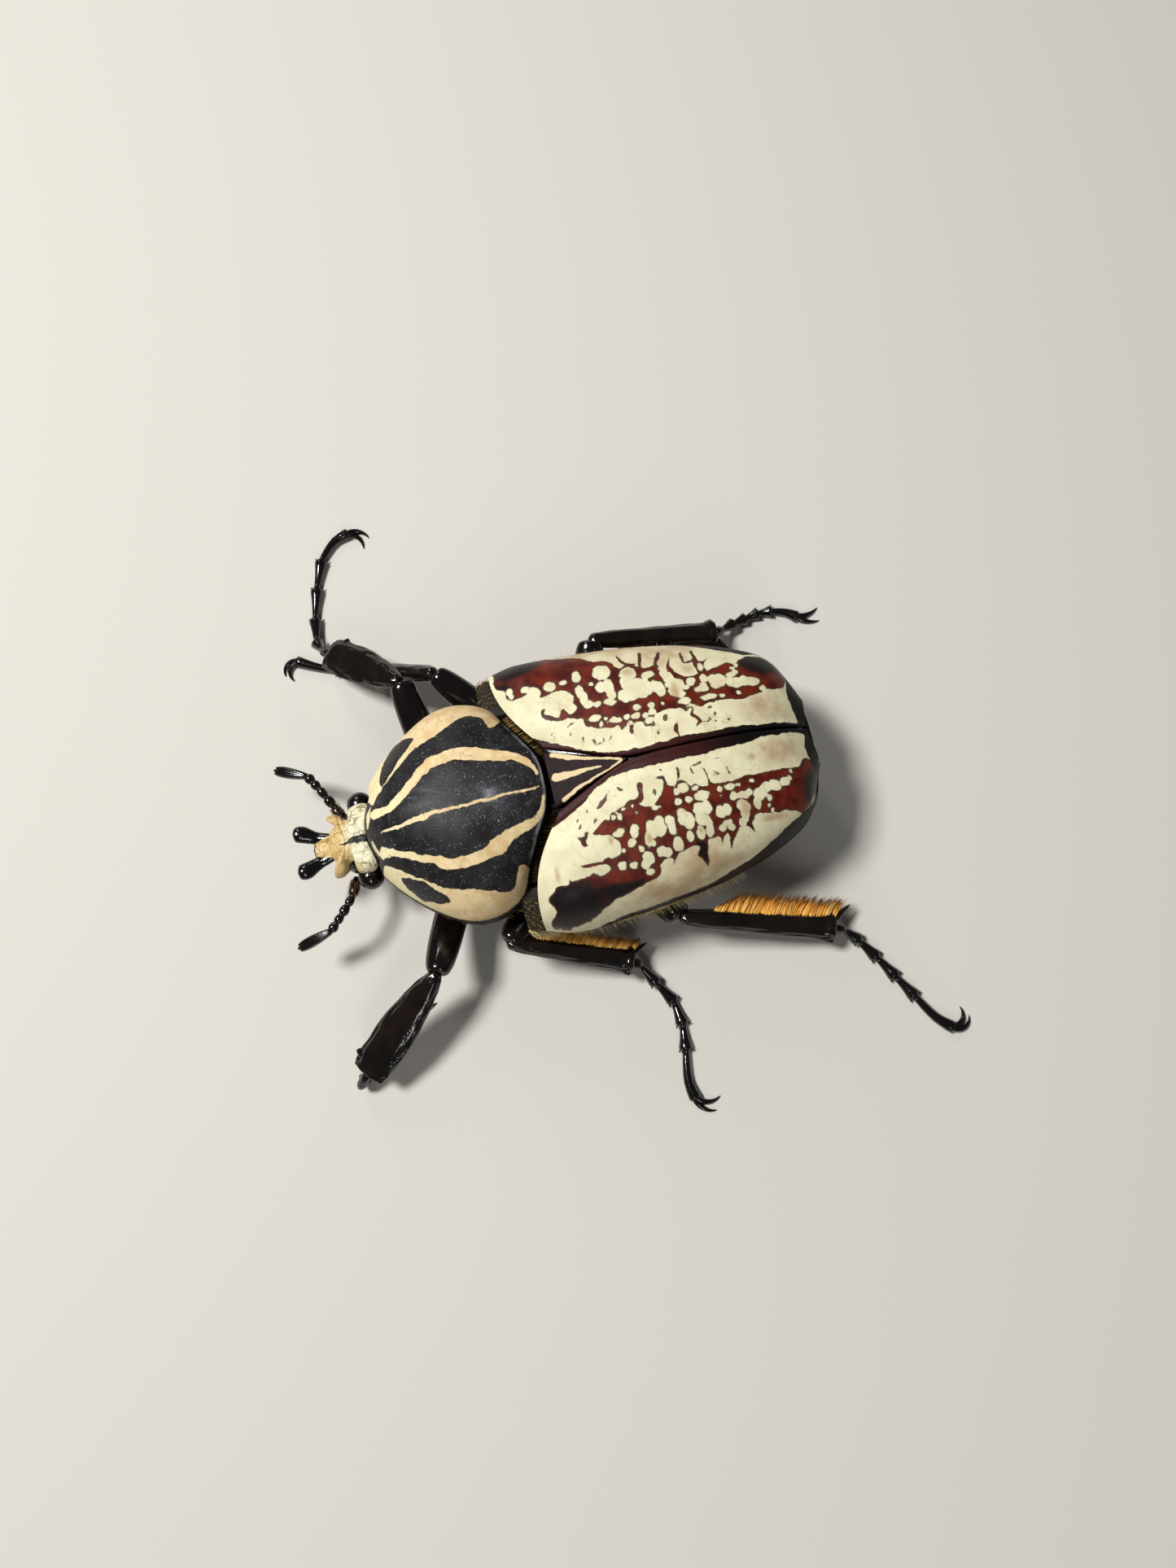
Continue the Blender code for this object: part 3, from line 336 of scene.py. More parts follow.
# Parts of the patches that are charcoal and not maroon, and brown stains, the broad ones on the outer slopes
# being painted shade as well: centre, half width and half length
CHARCOAL = {
    -1: ((12.9, -0.8, 2.4, 3.2), (7.2, 22.0, 1.8, 2.2), (9.2, -2.2, 1.2, 1.0)),
    1: ((11.7, -0.1, 2.3, 3.5), (11.6, 3.2, 1.2, 4.8), (6.3, 24.3, 2.3, 1.3), (9.6, 12.3, 1.1, 0.6)),
}
STAINS_AND_SHADE = {
    -1: ((12.2, 8.5, 2.2, 7.5), (9.8, 13.2, 2.0, 4.0), (8.2, 9.7, 0.9, 0.9), (2.1, 21.2, 1.7, 2.6),
         (6.1, 23.1, 0.8, 0.5), (7.2, 15.0, 0.8, 0.8), (5.0, 13.4, 1.5, 0.5)),
    1: ((11.9, 9.0, 1.7, 7.5), (10.5, 12.5, 1.9, 4.5), (2.3, 21.4, 1.7, 2.4), (6.6, 17.0, 1.3, 0.8),
        (7.9, 19.5, 0.4, 1.6), (2.4, 18.7, 0.5, 0.5), (1.9, 20.0, 0.5, 0.35), (7.8, 12.6, 0.35, 0.3),
        (7.5, 7.9, 0.6, 0.35), (6.9, 4.5, 0.6, 0.3), (8.6, -0.9, 0.9, 0.3)),
}
# Stripes and lines, each point (x, y, full width), and outlines, each point (x, y)
PRONOTUM_LINES = (
    ((0.9, -15.9, 0.12), (0.95, -14.0, 0.3), (0.9, -13.0, 0.42), (0.78, -11.5, 0.5), (0.7, -9.5, 0.32),
     (0.7, -6.0, 0.3), (0.6, -4.0, 0.25), (0.6, -2.3, 0.2), (0.5, -0.7, 0.15)),
    ((-1.0, -16.3, 0.95), (-0.95, -14.7, 0.8), (-1.9, -13.0, 0.75), (-3.0, -11.5, 0.85), (-3.85, -10.3, 1.15),
     (-4.15, -9.2, 1.1), (-4.25, -7.8, 1.2), (-4.1, -6.6, 1.35), (-3.7, -5.3, 1.3), (-3.2, -3.7, 1.0),
     (-2.6, -2.0, 0.75), (-1.5, -0.9, 0.45), (-0.7, -0.5, 0.3)),
    ((2.5, -16.3, 0.9), (2.9, -15.2, 0.65), (3.3, -14.4, 0.5), (4.0, -13.0, 0.6), (4.7, -11.5, 0.7),
     (5.3, -10.4, 0.95), (5.55, -9.3, 0.95), (5.55, -8.0, 1.0), (5.3, -6.6, 1.1), (4.9, -5.5, 1.5),
     (4.3, -4.4, 1.1), (3.9, -3.3, 0.9), (3.4, -1.7, 0.7), (2.3, -0.8, 0.4), (1.5, -0.5, 0.25)),
    ((-2.0, -16.6, 0.1), (-1.1, -17.0, 0.4), (-0.2, -17.3, 0.2)),
    ((1.2, -17.3, 0.25), (2.2, -16.9, 0.35), (3.0, -16.5, 0.25)),
)
PRONOTUM_MARGIN = {
    -1: ((2.0, -16.3), (2.5, -15.9), (3.5, -14.7), (4.8, -13.0), (5.6, -11.9), (6.2, -11.0), (6.7, -9.2),
         (7.6, -7.6), (8.15, -6.4), (8.1, -5.4), (7.6, -4.6), (6.3, -4.0), (7.5, -3.0), (10.5, -2.5),
         (13.0, -6.0), (13.0, -12.0), (9.0, -17.5), (4.0, -19.0), (2.9, -17.2)),
    1: ((3.6, -16.5), (4.3, -15.3), (4.9, -14.5), (5.6, -13.5), (6.5, -12.3), (7.3, -11.0), (7.8, -9.3),
        (8.1, -8.0), (8.55, -7.0), (8.7, -5.9), (8.2, -4.9), (6.8, -4.0), (7.6, -3.0), (10.5, -2.5),
        (13.0, -6.0), (13.0, -12.0), (9.0, -17.5), (4.8, -19.0), (3.9, -17.2)),
}
PRONOTUM_LENS = {
    -1: ((3.45, -15.15), (3.6, -14.7), (4.8, -13.6), (6.2, -12.3), (7.3, -11.3), (7.6, -11.7), (7.8, -13.0),
         (7.6, -13.9), (6.2, -14.7), (4.8, -15.1)),
    1: ((5.15, -15.25), (5.7, -15.15), (6.4, -14.75), (7.4, -13.8), (8.1, -12.6), (8.35, -11.2), (8.0, -11.3),
        (7.3, -12.0), (6.2, -13.0), (5.5, -14.2)),
}
SCUTELLUM_LINES = (
    ((0.0, 0.95, 0.7), (0.05, 2.0, 0.62), (0.05, 3.5, 0.35), (0.1, 5.2, 0.1)),
    ((2.15, 1.25, 0.45), (1.45, 2.9, 0.3), (0.8, 5.0, 0.18), (0.3, 6.6, 0.22)),
    ((-2.15, 1.2, 0.55), (-1.4, 2.9, 0.4), (-0.75, 5.0, 0.2), (-0.25, 6.6, 0.2)),
    ((0.3, 6.6, 0.2), (0.0, 7.1, 0.3), (-0.25, 6.6, 0.2)),
)
HEAD_WEDGE = (
    (-0.55, -18.0), (-0.6, -18.8), (-0.55, -20.0), (-0.35, -20.3), (-0.25, -21.3), (-0.15, -21.3),
    (0.0, -20.3), (0.1, -19.6), (0.1, -18.8), (0.4, -18.0),
)
# Dark patches on the wing cases, in millimetres from the midline and behind the scutellum's front edge
RIGHT_PATCHES = (
    ((13.9, -1.0), (13.6, -2.6), (13.2, -2.9), (11.4, -2.8), (10.2, -2.8), (9.8, -2.4), (9.5, -1.9),
     (8.8, -1.9), (8.4, -1.6), (8.35, -0.9), (8.5, -0.1), (8.7, 0.0), (8.85, -0.35), (9.4, -0.2), (9.3, 0.3),
     (9.1, 0.6), (8.9, 1.2), (8.4, 1.4), (7.75, 1.2), (7.9, 1.9), (8.0, 3.2), (7.7, 3.8), (7.1, 4.15),
     (6.4, 4.1), (5.9, 4.3), (5.5, 4.0), (5.45, 3.5), (6.1, 3.15), (6.0, 2.8), (5.5, 2.5), (5.65, 1.95),
     (6.1, 1.35), (6.55, 1.5), (6.6, 1.2), (5.9, 1.0), (5.3, 1.7), (5.05, 2.6), (4.9, 3.7), (4.6, 4.6),
     (4.0, 4.7), (3.5, 5.5), (3.15, 6.4), (2.9, 7.0), (3.1, 7.5), (2.6, 7.9), (3.1, 8.5), (2.2, 8.5),
     (2.0, 8.8), (2.7, 8.9), (3.0, 9.3), (2.9, 9.9), (2.4, 10.0), (2.3, 10.9), (2.9, 10.8), (3.4, 11.4),
     (3.5, 12.4), (3.4, 13.2), (3.2, 13.6), (2.9, 13.9), (3.2, 14.7), (3.1, 15.4), (3.35, 16.2), (3.4, 17.2),
     (3.25, 18.2), (3.2, 19.1), (3.4, 20.4), (3.6, 21.3), (3.9, 21.9), (3.8, 22.9), (4.0, 23.6), (4.6, 24.1),
     (5.6, 24.1), (7.2, 23.1), (7.7, 22.1), (7.8, 21.0), (7.4, 20.2), (7.0, 19.6), (7.3, 18.9), (7.0, 18.3),
     (6.9, 17.6), (6.7, 16.9), (7.6, 16.9), (8.1, 17.4), (7.9, 16.5), (8.9, 16.0), (7.9, 15.8), (6.9, 15.9),
     (6.4, 15.7), (6.4, 14.7), (7.2, 14.0), (7.9, 13.7), (9.1, 13.8), (8.0, 13.4), (7.6, 12.9), (7.8, 12.4),
     (8.4, 12.3), (8.2, 11.4), (8.4, 10.9), (8.9, 10.3), (9.3, 9.8), (8.9, 9.0), (9.7, 8.5), (10.2, 7.9),
     (10.4, 6.9), (11.3, 5.7), (12.0, 4.2), (12.5, 2.9), (13.3, 2.0)),
)
RIGHT_LINES = (
    ((10.6, 9.2, 0.15), (9.8, 9.35, 0.35), (9.3, 9.7, 0.25), (8.9, 10.4, 0.3)),
    ((10.3, 11.3, 0.25), (9.7, 11.2, 0.4), (8.9, 10.95, 0.3), (8.2, 11.0, 0.4)),
    ((9.9, 13.0, 0.3), (9.2, 12.7, 0.4), (8.5, 12.35, 0.25), (7.9, 12.4, 0.2), (8.1, 11.2, 0.4)),
    ((9.3, 15.0, 0.2), (8.5, 15.0, 0.3), (8.1, 15.2, 0.25), (8.1, 15.9, 0.25)),
    ((9.4, 16.1, 0.3), (8.6, 16.1, 0.35), (7.9, 16.1, 0.3)),
    ((3.4, 13.6, 0.15), (3.1, 14.6, 0.15), (2.5, 14.4, 0.3), (1.8, 14.85, 0.35), (1.2, 14.5, 0.15)),
    ((2.0, 12.8, 0.15), (1.5, 12.6, 0.4), (0.9, 12.7, 0.15), (0.5, 12.7, 0.2)),
    ((3.6, 15.6, 0.3), (3.4, 16.6, 0.25)),
    ((4.3, 15.8, 0.15), (4.1, 14.9, 0.3)),
    ((1.7, 15.0, 0.1), (1.5, 15.5, 0.1), (1.9, 15.8, 0.15), (1.3, 16.0, 0.1)),
)
RIGHT_SPOTS = (
    (9.25, -1.45, 0.35, 0.3), (8.75, -1.4, 0.3, 0.22), (8.7, 2.35, 0.55, 0.55), (8.75, 3.6, 0.28, 0.4),
    (9.05, 4.95, 0.7, 0.38), (7.35, 4.9, 0.65, 0.38), (6.6, 5.1, 0.75, 0.42), (5.85, 5.4, 0.38, 0.5),
    (5.65, 6.2, 0.28, 0.42), (7.85, 6.1, 0.2, 0.2), (8.85, 7.3, 0.88, 0.85), (7.3, 6.9, 0.58, 0.5),
    (7.1, 7.6, 0.8, 0.5), (6.3, 7.7, 0.55, 0.42), (5.55, 7.4, 0.32, 0.52), (4.35, 5.7, 0.33, 0.55),
    (3.65, 6.15, 0.25, 0.18), (4.05, 6.65, 0.18, 0.18), (3.65, 6.8, 0.1, 0.1), (3.75, 7.35, 0.3, 0.4),
    (3.6, 7.8, 0.28, 0.3), (3.65, 8.55, 0.27, 0.27), (3.0, 8.75, 0.22, 0.2), (4.4, 9.6, 0.32, 0.38),
    (3.6, 9.35, 0.3, 0.42), (5.8, 8.8, 0.65, 0.6), (5.9, 9.6, 0.75, 0.6), (6.5, 10.3, 0.85, 0.75),
    (6.7, 9.3, 0.55, 0.5), (5.5, 10.5, 0.4, 0.5), (6.1, 11.1, 0.7, 0.4), (8.0, 9.6, 0.85, 0.75),
    (7.3, 8.95, 0.35, 0.22), (7.0, 11.0, 0.25, 0.3), (6.8, 10.9, 0.3, 0.3), (3.45, 10.2, 0.27, 0.25),
    (2.85, 10.45, 0.3, 0.38), (4.25, 10.95, 0.33, 0.36), (3.6, 10.85, 0.32, 0.4), (4.15, 12.0, 0.18, 0.15),
    (7.45, 11.4, 0.42, 0.62), (6.1, 11.8, 0.65, 0.45), (5.7, 12.2, 0.78, 0.45), (7.4, 12.9, 0.5, 0.38),
    (6.7, 13.2, 0.55, 0.5), (6.0, 13.4, 0.6, 0.65), (5.2, 13.5, 0.6, 0.65), (5.7, 14.0, 0.6, 0.45),
    (4.75, 13.9, 0.35, 0.4), (3.95, 14.0, 0.36, 0.6), (3.3, 14.4, 0.27, 0.5), (5.8, 15.1, 0.4, 0.42),
    (5.35, 14.5, 0.3, 0.3), (4.9, 15.9, 0.38, 0.65), (5.9, 16.35, 0.45, 0.42), (5.2, 16.1, 0.3, 0.4),
    (3.95, 16.3, 0.27, 0.72), (3.85, 17.5, 0.22, 0.24), (3.85, 19.2, 0.2, 0.18), (7.4, 14.6, 0.7, 0.5),
    (7.2, 15.2, 0.8, 0.55), (8.0, 15.4, 0.3, 0.25), (5.7, 17.1, 0.55, 0.42), (5.5, 17.8, 0.65, 0.5),
    (5.0, 17.3, 0.3, 0.45), (5.1, 18.7, 0.55, 0.5), (4.9, 19.2, 0.6, 0.6), (5.0, 20.0, 0.55, 0.5),
    (4.85, 20.7, 0.45, 0.75), (5.85, 18.9, 0.28, 0.5), (6.05, 19.4, 0.22, 0.3), (6.45, 19.25, 0.22, 0.22),
    (6.8, 19.7, 0.27, 0.22), (4.05, 21.6, 0.3, 0.3), (7.2, 16.4, 0.45, 0.3),
)
LEFT_PATCHES = (
    ((9.6, -1.2), (9.9, -1.5), (10.3, -2.0), (10.8, -2.2), (11.2, -2.0), (11.7, -1.9), (12.3, -2.5),
     (12.8, -2.4), (13.2, -0.4), (12.9, 1.2), (12.3, 2.5), (11.6, 4.6), (11.3, 5.8), (11.1, 6.7), (10.8, 7.8),
     (10.5, 8.25), (9.8, 8.4), (9.5, 9.0), (9.6, 9.6), (10.3, 9.5), (9.5, 9.9), (9.2, 10.3), (9.1, 11.0),
     (9.0, 11.7), (9.2, 12.2), (9.6, 11.8), (10.1, 12.1), (10.8, 12.6), (10.0, 12.75), (9.2, 12.9),
     (8.75, 13.1), (8.6, 13.6), (8.8, 14.2), (9.5, 14.3), (8.7, 14.6), (8.6, 15.0), (9.8, 15.0), (9.0, 15.4),
     (8.4, 15.9), (8.1, 16.2), (8.3, 16.9), (8.8, 17.4), (8.0, 17.4), (7.6, 18.0), (7.5, 18.8), (7.6, 19.6),
     (7.5, 20.6), (7.7, 21.6), (7.8, 22.5), (7.1, 23.5), (6.0, 24.4), (5.0, 24.8), (4.0, 24.8), (3.2, 24.3),
     (3.1, 23.8), (3.6, 23.2), (3.9, 22.6), (3.85, 21.5), (3.85, 20.0), (3.95, 18.6), (4.0, 17.4),
     (4.15, 16.4), (4.2, 15.2), (4.1, 14.6), (3.5, 14.35), (2.6, 14.25), (2.55, 14.1), (3.5, 14.15),
     (4.1, 14.2), (4.1, 13.5), (3.8, 13.0), (3.9, 12.6), (3.3, 12.2), (3.2, 11.7), (3.6, 11.2), (3.5, 10.7),
     (3.4, 10.3), (4.0, 9.7), (4.8, 9.0), (4.7, 8.2), (4.4, 7.75), (4.1, 8.3), (3.3, 8.25), (2.75, 8.4),
     (2.5, 8.1), (3.0, 7.8), (3.8, 7.8), (3.9, 6.9), (4.15, 6.2), (4.4, 5.5), (4.9, 4.6), (5.3, 4.0),
     (5.6, 3.5), (6.0, 3.0), (6.3, 3.8), (6.4, 4.3), (6.8, 4.7), (7.2, 5.2), (8.0, 5.0), (8.4, 4.4),
     (8.2, 3.9), (8.4, 3.2), (8.4, 2.0), (8.3, 1.2), (8.6, 1.6), (8.9, 2.3), (9.3, 1.9), (9.5, 1.2),
     (9.55, 0.3), (9.3, 0.1), (9.75, -0.2)),
    ((5.8, 1.6), (6.1, 1.75), (6.8, 1.95), (6.9, 2.4), (6.4, 2.35), (5.8, 2.7), (5.8, 2.3), (6.1, 2.1)),
    ((2.5, 5.45), (3.0, 4.8), (3.4, 4.3), (3.85, 3.9), (3.8, 4.4), (3.4, 4.9), (3.0, 5.0)),
)
LEFT_LINES = (
    ((2.05, 11.8, 0.15), (2.6, 11.75, 0.25), (3.2, 11.6, 0.15), (3.7, 11.3, 0.3)),
    ((2.0, 13.9, 0.3), (2.1, 13.2, 0.12), (2.4, 13.0, 0.2), (2.9, 13.1, 0.2)),
    ((1.95, 15.8, 0.1), (2.0, 15.2, 0.12)),
    ((3.0, 14.9, 0.1), (3.4, 15.3, 0.12), (3.3, 14.8, 0.1)),
    ((2.9, 16.1, 0.1), (3.5, 16.3, 0.15)),
    ((2.6, 9.7, 0.2), (2.6, 10.3, 0.3), (3.0, 10.45, 0.25), (3.5, 10.3, 0.3)),
)
LEFT_SPOTS = (
    (9.0, 2.4, 0.22, 0.35), (9.1, 3.1, 0.42, 0.75), (7.6, 4.6, 0.72, 0.6), (7.2, 4.3, 0.7, 0.5),
    (4.9, 4.65, 0.18, 0.18), (4.95, 5.15, 0.2, 0.2), (5.05, 5.75, 0.28, 0.24), (4.6, 5.55, 0.1, 0.1),
    (4.45, 6.2, 0.17, 0.18), (4.55, 6.5, 0.1, 0.1), (4.45, 7.1, 0.16, 0.12), (5.1, 7.35, 0.1, 0.12),
    (6.5, 5.2, 0.3, 0.5), (6.3, 5.6, 0.28, 0.4), (8.0, 5.4, 0.18, 0.22), (9.2, 5.0, 0.33, 0.35),
    (9.4, 6.0, 0.3, 0.35), (7.5, 6.25, 0.42, 0.38), (6.7, 6.7, 0.52, 0.35), (6.3, 6.9, 0.4, 0.33),
    (8.2, 7.0, 0.26, 0.26), (9.1, 7.45, 0.6, 0.5), (9.5, 7.1, 0.45, 0.38), (10.2, 7.3, 0.25, 0.35),
    (6.8, 8.3, 0.8, 0.5), (6.7, 9.0, 0.88, 0.6), (5.1, 9.05, 0.26, 0.33), (5.1, 9.5, 0.12, 0.12),
    (8.8, 8.7, 0.48, 0.4), (9.0, 9.2, 0.4, 0.4), (7.6, 7.75, 0.6, 0.28), (7.9, 8.1, 0.3, 0.3),
    (8.5, 10.3, 0.55, 0.48), (6.9, 10.15, 0.8, 0.33), (6.3, 9.95, 0.4, 0.3), (5.0, 11.15, 0.33, 0.36),
    (4.1, 11.2, 0.33, 0.3), (3.9, 11.9, 0.4, 0.5), (6.4, 11.2, 0.75, 0.5), (6.8, 11.7, 0.7, 0.5),
    (8.1, 11.55, 0.45, 0.35), (5.0, 12.15, 0.27, 0.3), (8.0, 12.5, 0.55, 0.35), (4.2, 12.9, 0.2, 0.3),
    (6.0, 12.9, 0.6, 0.6), (6.8, 12.8, 0.7, 0.45), (6.0, 13.5, 0.7, 0.45), (7.2, 13.4, 0.5, 0.4),
    (4.9, 13.4, 0.37, 0.7), (7.9, 13.4, 0.6, 0.4), (4.7, 15.1, 0.22, 0.25), (5.3, 15.05, 0.12, 0.1),
    (6.6, 14.7, 0.55, 0.5), (6.5, 15.3, 0.5, 0.4), (7.6, 15.1, 0.28, 0.4), (8.0, 14.6, 0.3, 0.4),
    (8.1, 15.4, 0.25, 0.3), (4.65, 16.0, 0.3, 0.45), (4.6, 16.7, 0.15, 0.15), (4.65, 17.0, 0.14, 0.12),
    (4.5, 18.1, 0.18, 0.25), (4.2, 22.05, 0.2, 0.14), (6.25, 19.4, 0.25, 0.28), (6.85, 19.2, 0.17, 0.15),
    (7.35, 19.5, 0.2, 0.2), (5.5, 16.2, 0.4, 0.4), (5.6, 17.0, 0.35, 0.7), (5.4, 17.7, 0.28, 0.3),
    (6.4, 16.7, 0.4, 0.5), (7.2, 16.9, 0.7, 0.4), (6.6, 17.2, 0.5, 0.25), (7.8, 16.5, 0.4, 0.3),
    (6.5, 18.2, 0.5, 0.4), (5.8, 18.5, 0.6, 0.5), (5.3, 19.2, 0.5, 0.6), (5.2, 20.1, 0.5, 0.6),
    (5.5, 20.4, 0.3, 0.4), (5.1, 21.2, 0.38, 0.5), (4.8, 21.7, 0.25, 0.2), (7.6, 18.1, 0.28, 0.4),
    (5.9, 19.0, 0.22, 0.3),
)
# Small olive flecks: place, half length, half width and turn in degrees
FLECKS = {
    -1: ((4.4, 3.4, 0.5, 0.1, 70), (3.55, 3.15, 0.22, 0.08, 20), (2.7, 4.3, 0.3, 0.1, 5),
         (2.2, 5.1, 0.28, 0.1, -10), (1.95, 5.5, 0.28, 0.09, 80), (2.15, 6.0, 0.22, 0.1, 10),
         (2.1, 6.6, 0.28, 0.09, 50), (3.45, 2.3, 0.12, 0.07, 0), (4.0, 1.5, 0.12, 0.07, 40),
         (2.7, 11.9, 0.3, 0.24, 30), (1.45, 10.95, 0.18, 0.15, 0), (2.4, 10.6, 0.22, 0.14, 60),
         (2.15, 16.4, 0.24, 0.13, 10), (1.4, 17.5, 0.2, 0.13, 60), (2.9, 16.1, 0.15, 0.12, 60),
         (1.45, 16.3, 0.15, 0.09, 80), (2.5, 10.1, 0.1, 0.2, 0)),
    1: ((4.45, 1.95, 0.25, 0.12, -30), (5.1, 2.05, 0.25, 0.12, -30), (3.9, 3.0, 0.14, 0.08, -40),
        (4.85, 3.55, 0.25, 0.14, -60), (2.6, 6.35, 0.3, 0.12, 40), (3.15, 5.85, 0.18, 0.05, 80),
        (3.7, 9.3, 0.3, 0.14, -15), (1.9, 10.25, 0.16, 0.1, 50), (3.95, 9.15, 0.14, 0.06, 40),
        (3.2, 8.05, 0.3, 0.07, 10)),
}
ELYTRON_MARKS = {
    1: (LEFT_PATCHES, LEFT_LINES, LEFT_SPOTS),
    -1: (RIGHT_PATCHES, RIGHT_LINES, RIGHT_SPOTS),
}

random.seed(7)
# Without a seed of its own, Blender's vector noise starts from the clock and sways the marks anew each run
noise.seed_set(7)


def linear(code):
    """Linear colour from an sRGB hex value."""
    channels = [int(code[i:i + 2], 16) / 255 for i in (1, 3, 5)]
    return tuple(c / 12.92 if c <= 0.04045 else ((c + 0.055) / 1.055) ** 2.4 for c in channels) + (1.0,)


def curve_value(points, i, f):
    """Point on a smooth curve between points[i] and points[i + 1], f of the way along."""
    last = len(points) - 1
    before, start = points[max(i - 1, 0)], points[i]
    end, after = points[min(i + 1, last)], points[min(i + 2, last)]
    return tuple(
        0.5 * (2 * b + (c - a) * f + (2 * a - 5 * b + 4 * c - d) * f ** 2 + (3 * b - a - 3 * c + d) * f ** 3)
        for a, b, c, d in zip(before, start, end, after)
    )


def along_curve(points, t):
    """Point at t, 0 to 1, on an open smooth curve through the points."""
    place = min(max(t, 0.0), 1.0) * (len(points) - 1)
    i = min(int(place), len(points) - 2)
    return curve_value(points, i, place - i)


def loop_value(loop, i, f):
    """Point f of the way from loop[i] to the next one, on a closed smooth curve through the points."""
    return curve_value([loop[(i + k) % len(loop)] for k in (-1, 0, 1, 2)], 1, f)


def whole_rim(half):
    """Closed rim from a half rim and its mirror image."""
    return (*half, *[(-x, y, z) for x, y, z in reversed(half[1:-1])])


def round_rim(half, t):
    """Point at t, 0 to 1, on the closed rim that a half rim and its mirror image make."""
    loop = whole_rim(half)
    place = (t % 1.0) * len(loop)
    return loop_value(loop, int(place) % len(loop), place - int(place))


def placed(point):
    """Body-frame millimetres to the part's frame in metres."""
    return (Vector(point) + Vector((BODY_X, BODY_Y, 0.0))) * MM


def body_place(co):
    """The part's frame in metres back to body-frame millimetres."""
    return co / MM - Vector((BODY_X, BODY_Y, 0.0))


def finish(name, bm, surface, nodes):
    """Object from a bmesh that rides with the beetle and stands for the named nodes, if any."""
    mesh = bpy.data.meshes.new(name)
    bm.to_mesh(mesh)
    bm.free()
    mesh.materials.append(surface)
    mesh.shade_smooth()
    mesh.update()
    obj = bpy.data.objects.new(name, mesh)
    bpy.context.scene.collection.objects.link(obj)
    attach(obj, "root")
    if nodes:
        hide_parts(*nodes)
    return obj


def merge_close(bm):
    """Merge points that meet, and drop faces left without area."""
    bmesh.ops.remove_doubles(bm, verts=bm.verts, dist=MERGE)
    bmesh.ops.dissolve_degenerate(bm, dist=MERGE / 2, edges=bm.edges)


def joined(piece, bm=None):
    """A piece with its faces turned outwards, added to bm if one is given."""
    bmesh.ops.recalc_face_normals(piece, faces=piece.faces)
    if bm is None:
        return piece
    carrier = bpy.data.meshes.new("carrier")
    piece.to_mesh(carrier)
    piece.free()
    bm.from_mesh(carrier)
    bpy.data.meshes.remove(carrier)
    return bm


def sheet(surface, around, along, bm=None):
    """Grid laid on surface(u, v), with its seams and poles merged. Adds to bm if one is given."""
    piece = bmesh.new()
    bmesh.ops.create_grid(piece, x_segments=around, y_segments=along, size=0.5)
    for vert in piece.verts:
        vert.co = placed(surface(vert.co.x + 0.5, vert.co.y + 0.5))
    merge_close(piece)
    return joined(piece, bm)


def limb(stations, sides, bm=None, relief=None):
    """Loft through stations (x, y, z, half width, half thickness), closed at both ends."""
    centres = [Vector(station[:3]) for station in stations]
    last = len(stations) - 1

    def surface(u, v):
        i = round(v * last)
        tangent = (centres[min(i + 1, last)] - centres[max(i - 1, 0)]).normalized()
        across = tangent.cross(UP).normalized()
        lift = across.cross(tangent)
        turn = 2 * math.pi * u
        wide, thick = stations[i][3:5]
        out = 1.0 + (relief(turn, v) if relief else 0.0)
        return centres[i] + (across * wide * math.cos(turn) + lift * thick * math.sin(turn)) * out

    return sheet(surface, sides, last, bm)


def smooth_stations(stations, steps):
    """More loft stations along the smooth curve through the given ones, which keep their places."""
    finer = []
    for i in range(len(stations) - 1):
        for k in range(steps):
            x, y, z, wide, thick = curve_value(stations, i, k / steps)
            finer.append((x, y, z, max(wide, 0.0), max(thick, 0.0)))
    return [*finer, tuple(stations[-1])]


def round_station(place, radius):
    """Loft station with a round section."""
    return (*place, radius, radius)


def ball(centre, radii, turn=0.0):
    """Ellipsoid from a sphere, turned about the upright axis by turn degrees."""
    piece = bmesh.new()
    bmesh.ops.create_uvsphere(piece, u_segments=BALL_GRID[0], v_segments=BALL_GRID[1], radius=1.0)
    matrix = Matrix.Translation(placed(centre)) @ Matrix.Rotation(math.radians(turn), 4, "Z")
    matrix = matrix @ Matrix.Diagonal((*[r * MM for r in radii], 1.0))
    bmesh.ops.transform(piece, matrix=matrix, verts=piece.verts)
    return joined(piece)


def yawed(point):
    """Point or loft station of the prothorax or head, turned with them about the rear of the pronotum."""
    turn = math.radians(PROTHORAX_YAW)
    x, y, *rest = point
    return (x * math.cos(turn) + y * math.sin(turn), y * math.cos(turn) - x * math.sin(turn), *rest)


def unyawed(x, y):
    """Places on the prothorax or head before that turn."""
    turn = math.radians(PROTHORAX_YAW)
    return x * math.cos(turn) - y * math.sin(turn), y * math.cos(turn) + x * math.sin(turn)


def elytron_surface(side, u, v):
    """Outer face of an elytron: u runs from the suture to the outer edge, v from front to tip."""
    crest = along_curve(ELYTRON_CREST, v)
    edge = along_curve(ELYTRON_EDGE, v)
    reach = math.sin(u * math.pi / 2) ** (2 / ELYTRON_POWER)
    rise = max(math.cos(u * math.pi / 2), 0.0) ** (2 / ELYTRON_POWER)
    x = crest[0] + (edge[0] - crest[0]) * reach
    y = crest[1] + (edge[1] - crest[1]) * reach - SHOULDER_BULGE * math.sin(math.pi * reach) * (1 - v) ** 4
    z = edge[2] + (crest[2] - edge[2]) * rise
    return (side * x, y, z)


